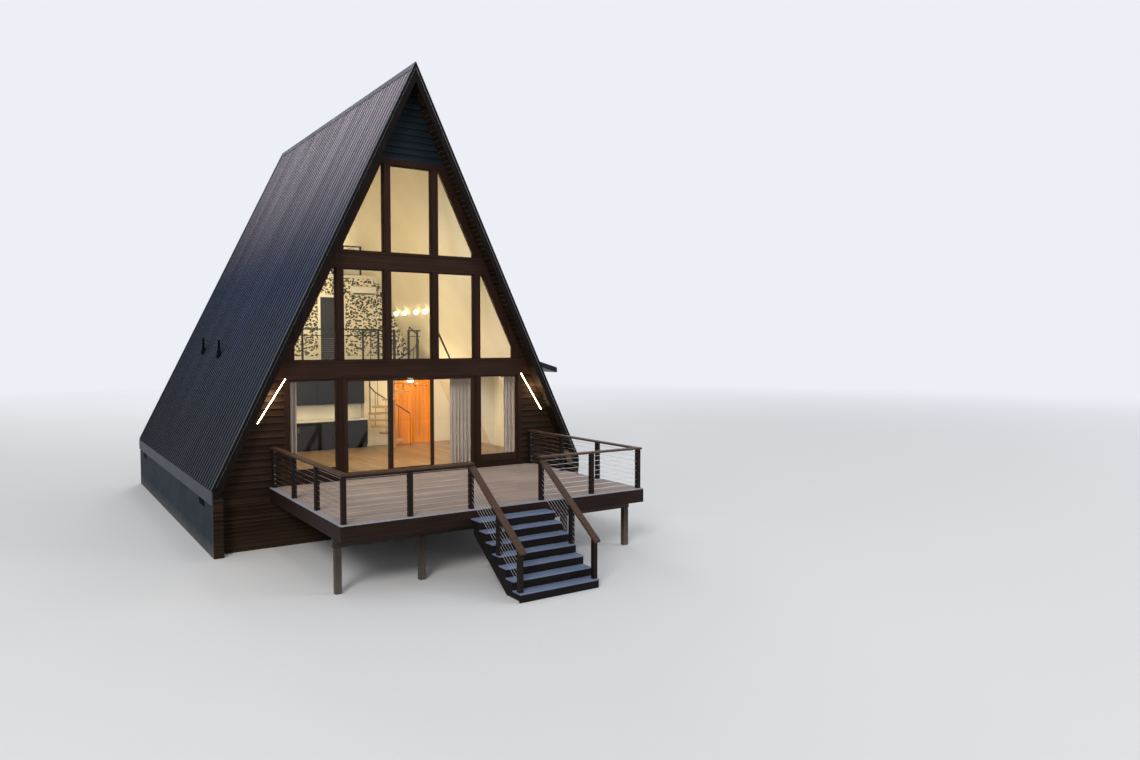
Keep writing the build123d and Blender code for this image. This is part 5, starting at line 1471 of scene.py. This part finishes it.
def partition_finish():
    """Door casings and knob, skirting, wallpaper and the white bands of the upper floors."""
    lo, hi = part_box("loft_door")
    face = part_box("loft_partition")[0].y
    bm, paper, knob = new_mesh(), new_mesh(), new_mesh()
    room = slope_x(LOFT_Z, LINING_DEPTH)
    across = slope_x(UPPER_Z, LINING_DEPTH) - 0.02
    left, right, head = lo.x - DOOR_CASING, hi.x + DOOR_CASING, hi.z + DOOR_CASING
    for x0, x1, thick, z0, z1 in (
            (left, lo.x, WHITE_TRIM, lo.z, head), (hi.x, right, WHITE_TRIM, lo.z, head),
            (lo.x, hi.x, WHITE_TRIM, hi.z, head),
            (-room + SKIRTING_GAP, left, SKIRTING, LOFT_Z, LOFT_Z + SKIRTING_HEIGHT),
            (right, room - SKIRTING_GAP, SKIRTING, LOFT_Z, LOFT_Z + SKIRTING_HEIGHT),
            (-across, across, WHITE_TRIM, UPPER_Z - EDGE_BAND, UPPER_Z - 0.002)):
        board(bm, (x0, face - thick, z0), (x1, face, z1))
    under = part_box("upper_floor")[0].z
    board(paper, (-across, face - 0.003, under), (across, face, UPPER_Z - EDGE_BAND))
    piece("wallpaper_over_door", paper, LEAF_PAPER)
    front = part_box("loft_floor")[0].y
    edge = STAIRWELL_LEFT
    for x0, x1, y in ((0.02 - room, edge, front), (edge, edge + 0.008, STAIRWELL_BACK)):
        board(bm, (x0, front - WHITE_TRIM, LOFT_Z - LOFT_BAND), (x1, y, LOFT_Z - 0.002))
    piece("inside_white_trim", bm, WHITE_PAINT, bevel=0.003)
    grip = Vector((hi.x - 0.07, lo.y, lo.z + 0.98))
    turned(knob, DOOR_KNOB, along(grip, (grip.x, lo.y - 0.1, grip.z)), 20)
    piece("loft_door_knob", knob, BRASS, smooth=True)


KITCHEN_DOORS, DOOR_GAP, UNIT_DOOR = 6, 0.002, 0.018
PLINTH, SPLASH_HEIGHT = 0.10, 0.45
HANDLE_INSET, HANDLE_OUT, HANDLE_LENGTH, HANDLE_FOOT = 0.05, 0.045, 0.16, 0.02
HANDLE_RADIUS, HANDLE_FOOT_RADIUS = 0.005, 0.004
BASE_HANDLE_DROP, WALL_HANDLE_RISE = 0.28, 0.08
UNDER_WORKTOP, BASE_RECESS = 0.045, 0.035
WORKTOP, WORKTOP_OVERHANG, SPLASH_THICKNESS = 0.038, 0.004, 0.012


def kitchen():
    """Doors, worktop and handles over the kitchen's plain units."""
    base, wall = sorted(solids_of("kitchen_units"), key=lambda s: extent(s, 2)[0])
    doors, handles, top = new_mesh(), new_mesh(), new_mesh()
    for solid in (base, wall):
        (x0, x1), (y0, _), (z0, z1) = spans(solid)
        if solid is base:
            z1 -= UNDER_WORKTOP
            y0 += BASE_RECESS
        foot = z0 + (PLINTH if solid is base else 0.0)
        z = z1 - BASE_HANDLE_DROP if solid is base else z0 + WALL_HANDLE_RISE
        width = (x1 - x0) / KITCHEN_DOORS
        for k in range(KITCHEN_DOORS):
            a, b = x0 + k * width + DOOR_GAP, x0 + (k + 1) * width - DOOR_GAP
            board(doors, (a, y0 - UNIT_DOOR, foot + 0.003), (b, y0, z1 - 0.003))
            grip = b - HANDLE_INSET if k % 2 == 0 else a + HANDLE_INSET
            y = y0 - HANDLE_OUT
            rod(handles, (grip, y, z), (grip, y, z + HANDLE_LENGTH), HANDLE_RADIUS, 8)
            for h in (z + HANDLE_FOOT, z + HANDLE_LENGTH - HANDLE_FOOT):
                rod(handles, (grip, y0 - UNIT_DOOR, h), (grip, y, h), HANDLE_FOOT_RADIUS, 8)
    (x0, x1), (y0, y1), (_, z1) = spans(base)
    x0 += 0.001
    board(top, (x0, y0 - WORKTOP_OVERHANG, z1 - WORKTOP), (x1, y1, z1 + 0.001))
    board(top, (x0, y1 - SPLASH_THICKNESS, z1), (x1, y1 - 0.001, z1 + SPLASH_HEIGHT))
    piece("kitchen_doors", doors, CABINET_PAINT, bevel=0.002)
    piece("kitchen_handles", handles, BRASS, smooth=True)
    piece("kitchen_worktop", top, WHITE_PAINT, bevel=0.003)


# Each in from the unit's ends, then back from its face and up from its foot, from and to
AIR_OUTLET = (0.05, (0.012, 0.075), (-0.003, 0.004))
AIR_FLAP = (0.03, (-0.002, 0.004), (0.012, 0.044))


def air_unit_details():
    """Flap and outlet of the indoor air unit."""
    lo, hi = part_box("air_unit")
    bm = new_mesh()
    for inset, (y0, y1), (z0, z1) in (AIR_OUTLET, AIR_FLAP):
        board(bm, (lo.x + inset, lo.y + y0, lo.z + z0), (hi.x - inset, lo.y + y1, lo.z + z1))
    piece("air_unit_outlet", bm, BLACK_COAT, bevel=0.001)


CURTAIN_RODS = ((-3.06, -2.75), (1.18, 1.76), (2.78, 3.10))
CURTAIN_Y = INNER_FRONT_Y + 0.16
ROD_HEIGHT, CURTAIN_TOP, CURTAIN_HEM = 2.352, 2.34, 0.03
ROD_REACH, ROD_RADIUS, ROD_BRACKET, BRACKET_INSET = 0.05, 0.011, 0.006, 0.02
ROD_KNOB = ((0.011, 0), (0.019, 0.006), (0.019, 0.022), (0.010, 0.030))
PLEAT = 0.105
PLEAT_DEPTH, PLEAT_SWAY = 0.026, 0.012
PLEAT_COLUMNS, PLEAT_ROWS = 96, 24


def curtain(name, x0, x1):
    """One gathered curtain of even pleats that open a little towards the hem."""
    top, bottom = FLOOR_Z + CURTAIN_TOP, FLOOR_Z + CURTAIN_HEM
    columns, rows = PLEAT_COLUMNS, PLEAT_ROWS
    bm = new_mesh()
    grid = []
    phase = SHUFFLE.uniform(0, 6)
    for r in range(rows + 1):
        drop = r / rows
        line = []
        for c in range(columns + 1):
            s = c / columns
            x = x0 + (x1 - x0) * s + PLEAT_SWAY * math.sin(5 * s + phase) * drop
            wave = math.sin(2 * math.pi * (x1 - x0) * s / PLEAT + phase)
            swell = PLEAT_DEPTH * (0.55 + 0.45 * drop + 0.12 * math.sin(9 * s + 2 * phase))
            line.append(bm.verts.new((x, CURTAIN_Y + swell * wave, top + (bottom - top) * drop)))
        grid.append(line)
    for r in range(rows):
        for c in range(columns):
            bm.faces.new((grid[r][c], grid[r][c + 1], grid[r + 1][c + 1], grid[r + 1][c]))
    area = sum(f.calc_area() for f in bm.faces)
    obj = piece(name, bm, CURTAIN_CLOTH, smooth=True)


def curtains():
    """Three rods on wall brackets, with knobs at the ends, and a curtain on each."""
    rods = new_mesh()
    z = FLOOR_Z + ROD_HEIGHT
    for x0, x1 in CURTAIN_RODS:
        a, b = x0 - ROD_REACH, x1 + ROD_REACH
        rod(rods, (a, CURTAIN_Y, z), (b, CURTAIN_Y, z), ROD_RADIUS, 14)
        for x in (a + BRACKET_INSET, b - BRACKET_INSET):
            rod(rods, (x, CURTAIN_Y, z), (x, INNER_FRONT_Y, z), ROD_BRACKET, 10)
        for x, ahead in ((a, -0.1), (b, 0.1)):
            turned(rods, ROD_KNOB, along((x, CURTAIN_Y, z), (x + ahead, CURTAIN_Y, z)), 14)
    piece("curtain_rods", rods, BLACK_COAT, smooth=True)
    for k, (x0, x1) in enumerate(CURTAIN_RODS):
        curtain(f"curtain_{k + 1}", x0, x1)


SCONCES = ((6.30, 5.62), (4.70, 5.62))
GLOBE_RADIUS = 0.075
PENDANT = (2.458, 5.77, 3.44)
PENDANT_RADIUS = 0.104
SCONCE_ARM, SCONCE_OUT, SCONCE_DROP = 0.24, 0.13, 0.02
SCONCE_STEM, SCONCE_BAR, PENDANT_STEM, DOME_STEM = 0.010, 0.009, 0.007, 0.006
GLOBE_SEAT, PENDANT_CROWN = 0.025, 0.09
WALL_ROSE = ((0.055, -0.005), (0.055, 0.010), (0.045, 0.016))
GLOBE_CUP = ((0.024, 0), (0.030, 0.02), (0.030, 0.035))
CEILING_ROSE = ((0.055, -0.030), (0.060, -0.024), (0.060, 0))
DOME_PLACE = (1.00, 7.15, 7.55)
DOME_SHAPE = ((0.20, 0), (0.205, 0.004), (0.19, 0.06), (0.15, 0.12), (0.09, 0.165), (0.03, 0.185),
              (0.012, 0.20), (DOME_STEM, 0.22))


def globe(bm, centre, radius):
    rings = 12
    profile = [(radius * math.sin(math.pi * (k + 0.5) / rings),
                -radius * math.cos(math.pi * (k + 0.5) / rings)) for k in range(rings)]
    turned(bm, profile, Matrix.Translation(centre), 24)


def lamps():
    """Wall lamps on the right lining, a round lamp over the room and a dome high up."""
    metal, glass, dome = new_mesh(), new_mesh(), new_mesh()
    for y, z in SCONCES:
        x = slope_x(z, LINING_DEPTH)
        wall, out = Vector((x, y, z)), Vector((x - SCONCE_OUT, y, z - SCONCE_DROP))
        turned(metal, WALL_ROSE, along(wall, wall + Vector((-SIN, 0, -COS))), 24)
        rod(metal, wall, out, SCONCE_STEM, 12)
        arms = [out + Vector((0, side * SCONCE_ARM, 0)) for side in (-1, 1)]
        rod(metal, *arms, SCONCE_BAR, 12)
        for side, end in zip((-1, 1), arms):
            turned(metal, GLOBE_CUP, along(end, end + Vector((0, side, 0))), 16)
            globe(glass, end + Vector((0, side * (GLOBE_RADIUS + GLOBE_SEAT), 0)), GLOBE_RADIUS)
    hang = Vector(PENDANT)
    ceiling = Vector((hang.x, hang.y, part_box("loft_floor")[0].z))
    rod(metal, hang + Vector((0, 0, PENDANT_CROWN)), ceiling, PENDANT_STEM, 10)
    turned(metal, CEILING_ROSE, Matrix.Translation(ceiling), 24)
    globe(glass, hang, PENDANT_RADIUS)
    piece("lamp_fittings", metal, BRASS, smooth=True)
    piece("lamp_globes", glass, OPAL_GLASS, smooth=True)
    centre = Vector(DOME_PLACE)
    stem = RIDGE_Z - (centre.x + 0.30) * TAN - centre.z + 0.02
    turned(dome, [*DOME_SHAPE, (DOME_STEM, stem)], Matrix.Translation(centre), 28)
    piece("dome_lamp", dome, WHITE_PAINT, smooth=True)


def rooms():
    floor_planks()
    guard_cables()
    guard_end_bars()
    spiral_pole()
    wood_wall()
    partition_finish()
    kitchen()
    air_unit_details()
    curtains()
    lamps()


# Studio


CAMERA_PLACE = (-8.300, -19.289, 4.621)
CAMERA_HEADING, CAMERA_DIP = math.radians(34.1436), math.radians(2.5228)
CAMERA_LENS, CAMERA_SENSOR, CAMERA_REACH = 26.19, 36, 300
ROOM_LIGHTS = (
    ("living_room", (0.2, 2.2, 3.6), 0.30, 130),
    ("living_room_high", (-0.4, 2.4, 6.2), 0.30, 62),
    ("under_loft", (-1.4, 5.0, 3.5), 0.15, 35),
    ("under_loft_right", (2.35, 4.5, 3.4), 0.15, 62),
    ("loft", (-0.5, 5.9, 6.1), 0.20, 60),
    ("upper_loft", (0.0, 8.6, 8.4), 0.20, 44),
    ("rear_room", (0.0, 8.6, 3.5), 0.2, 60),
    ("rear_loft", (0.0, 9.0, 6.2), 0.2, 45),
    ("left_bar_glow", (-3.50, -0.28, 3.46), 0.12, 26),
    ("right_bar_glow", (3.44, -0.28, 3.46), 0.12, 15),
)


HOUSE_MIDDLE = (0, 4, 4)
STUDIO_LIGHTS = (
    ("key", (-40, -46, 39), 22, 22500, (1.0, 0.97, 0.93)),
    ("fill", (45, -36, 24), 25, 7500, (0.92, 0.95, 1.0)),
    ("back", (15, 59, 34), 25, 8750, (1.0, 1.0, 1.0)),
)
ROOM_LIGHT = (1.0, 0.83, 0.50)
WORLD_LIGHT = 0.55


def aimed(place, target):
    direction = Vector(target) - Vector(place)
    return Matrix.Translation(place) @ direction.to_track_quat("-Z", "Y").to_matrix().to_4x4()


BACKDROP = (0.84, 0.87, 0.92, 1)
FLOOR_MIDDLE = (0, 4, 0)
FLOOR_FADE = (18, 75)
FLOOR_REACH, FLOOR_DROP = 120, 0.002


def seen_directly(tree):
    """One for the camera's rays and for what glass and metal show of the background."""
    path = tree.nodes.new("ShaderNodeLightPath")
    seen = maths(tree, "ADD", path.outputs["Is Camera Ray"], path.outputs["Is Transmission Ray"])
    return maths(tree, "ADD", seen, path.outputs["Is Glossy Ray"], clamp=True)


def new_light(name, kind, power, colour, place):
    """A lamp that is not seen itself, set by a matrix."""
    data = bpy.data.lights.new(name, kind)
    data.energy = power
    data.color = colour
    obj = new_object(name, data)
    obj.matrix_world = place
    obj.visible_camera = False
    return obj


@finish
def studio_floor_paint(tree, shader, position):
    """A pale floor that turns into the backdrop's colour far from the house."""
    set_sockets(tree, shader, Base_Color=(0.80, 0.80, 0.80, 1), Roughness=0.85)
    distance = add_node(tree, "VectorMath", {"operation": "DISTANCE"}, i0=position,
                        i1=FLOOR_MIDDLE).outputs["Value"]
    far = spread_value(tree, distance, *FLOOR_FADE, 0.0, 1.0, "SMOOTHSTEP")
    glow = add_node(tree, "Emission", Color=BACKDROP, Strength=1.0)
    mixed_surface(tree, maths(tree, "MULTIPLY", far, seen_directly(tree)), shader, glow)


def camera():
    data = bpy.data.cameras.new("camera")
    data.sensor_width = CAMERA_SENSOR
    data.lens = CAMERA_LENS
    data.clip_end = CAMERA_REACH
    obj = new_object("camera", data)
    level = math.cos(CAMERA_DIP)
    ahead = Vector((math.sin(CAMERA_HEADING) * level, math.cos(CAMERA_HEADING) * level,
                    -math.sin(CAMERA_DIP)))
    obj.matrix_world = aimed(CAMERA_PLACE, Vector(CAMERA_PLACE) + ahead)
    bpy.context.scene.camera = obj


def studio_floor():
    mesh = bpy.data.meshes.new("studio_floor")
    outline = rectangle(-FLOOR_REACH, FLOOR_REACH, -FLOOR_REACH, FLOOR_REACH)
    mesh.from_pydata([(x, y, 0) for x, y in outline], [], [(0, 1, 2, 3)])
    mesh.materials.append(studio_floor_paint("studio_floor_paint"))
    ground = new_object("studio_floor", mesh)
    ground.location.z = -FLOOR_DROP


def lighting():
    """A pale world, three large soft lamps round the house and small warm ones in its rooms."""
    world = bpy.data.worlds.new("studio_world")
    bpy.context.scene.world = world
    world.use_nodes = True
    tree = world.node_tree
    background = next(n for n in tree.nodes if n.type == "BACKGROUND")
    strength = maths(tree, "MULTIPLY_ADD", seen_directly(tree), 1 - WORLD_LIGHT, WORLD_LIGHT)
    set_sockets(tree, background, Strength=strength, Color=BACKDROP)
    for name, place, size, power, colour in STUDIO_LIGHTS:
        light = new_light(name, "AREA", power, colour, aimed(place, HOUSE_MIDDLE))
        light.data.shape = "DISK"
        light.data.size = size
    for name, place, size, power in ROOM_LIGHTS:
        light = new_light(name, "POINT", power, ROOM_LIGHT, Matrix.Translation(place))
        light.data.shadow_soft_size = size
        light.visible_glossy = False
        light.visible_transmission = False


def studio():
    bpy.context.scene.view_settings.view_transform = "Standard"
    camera()
    studio_floor()
    lighting()


dress(CAD_FINISHES)
dress(ROUND_CAD_FINISHES, smooth=True)
roof()
walls()
deck_and_stair()
rooms()
studio()
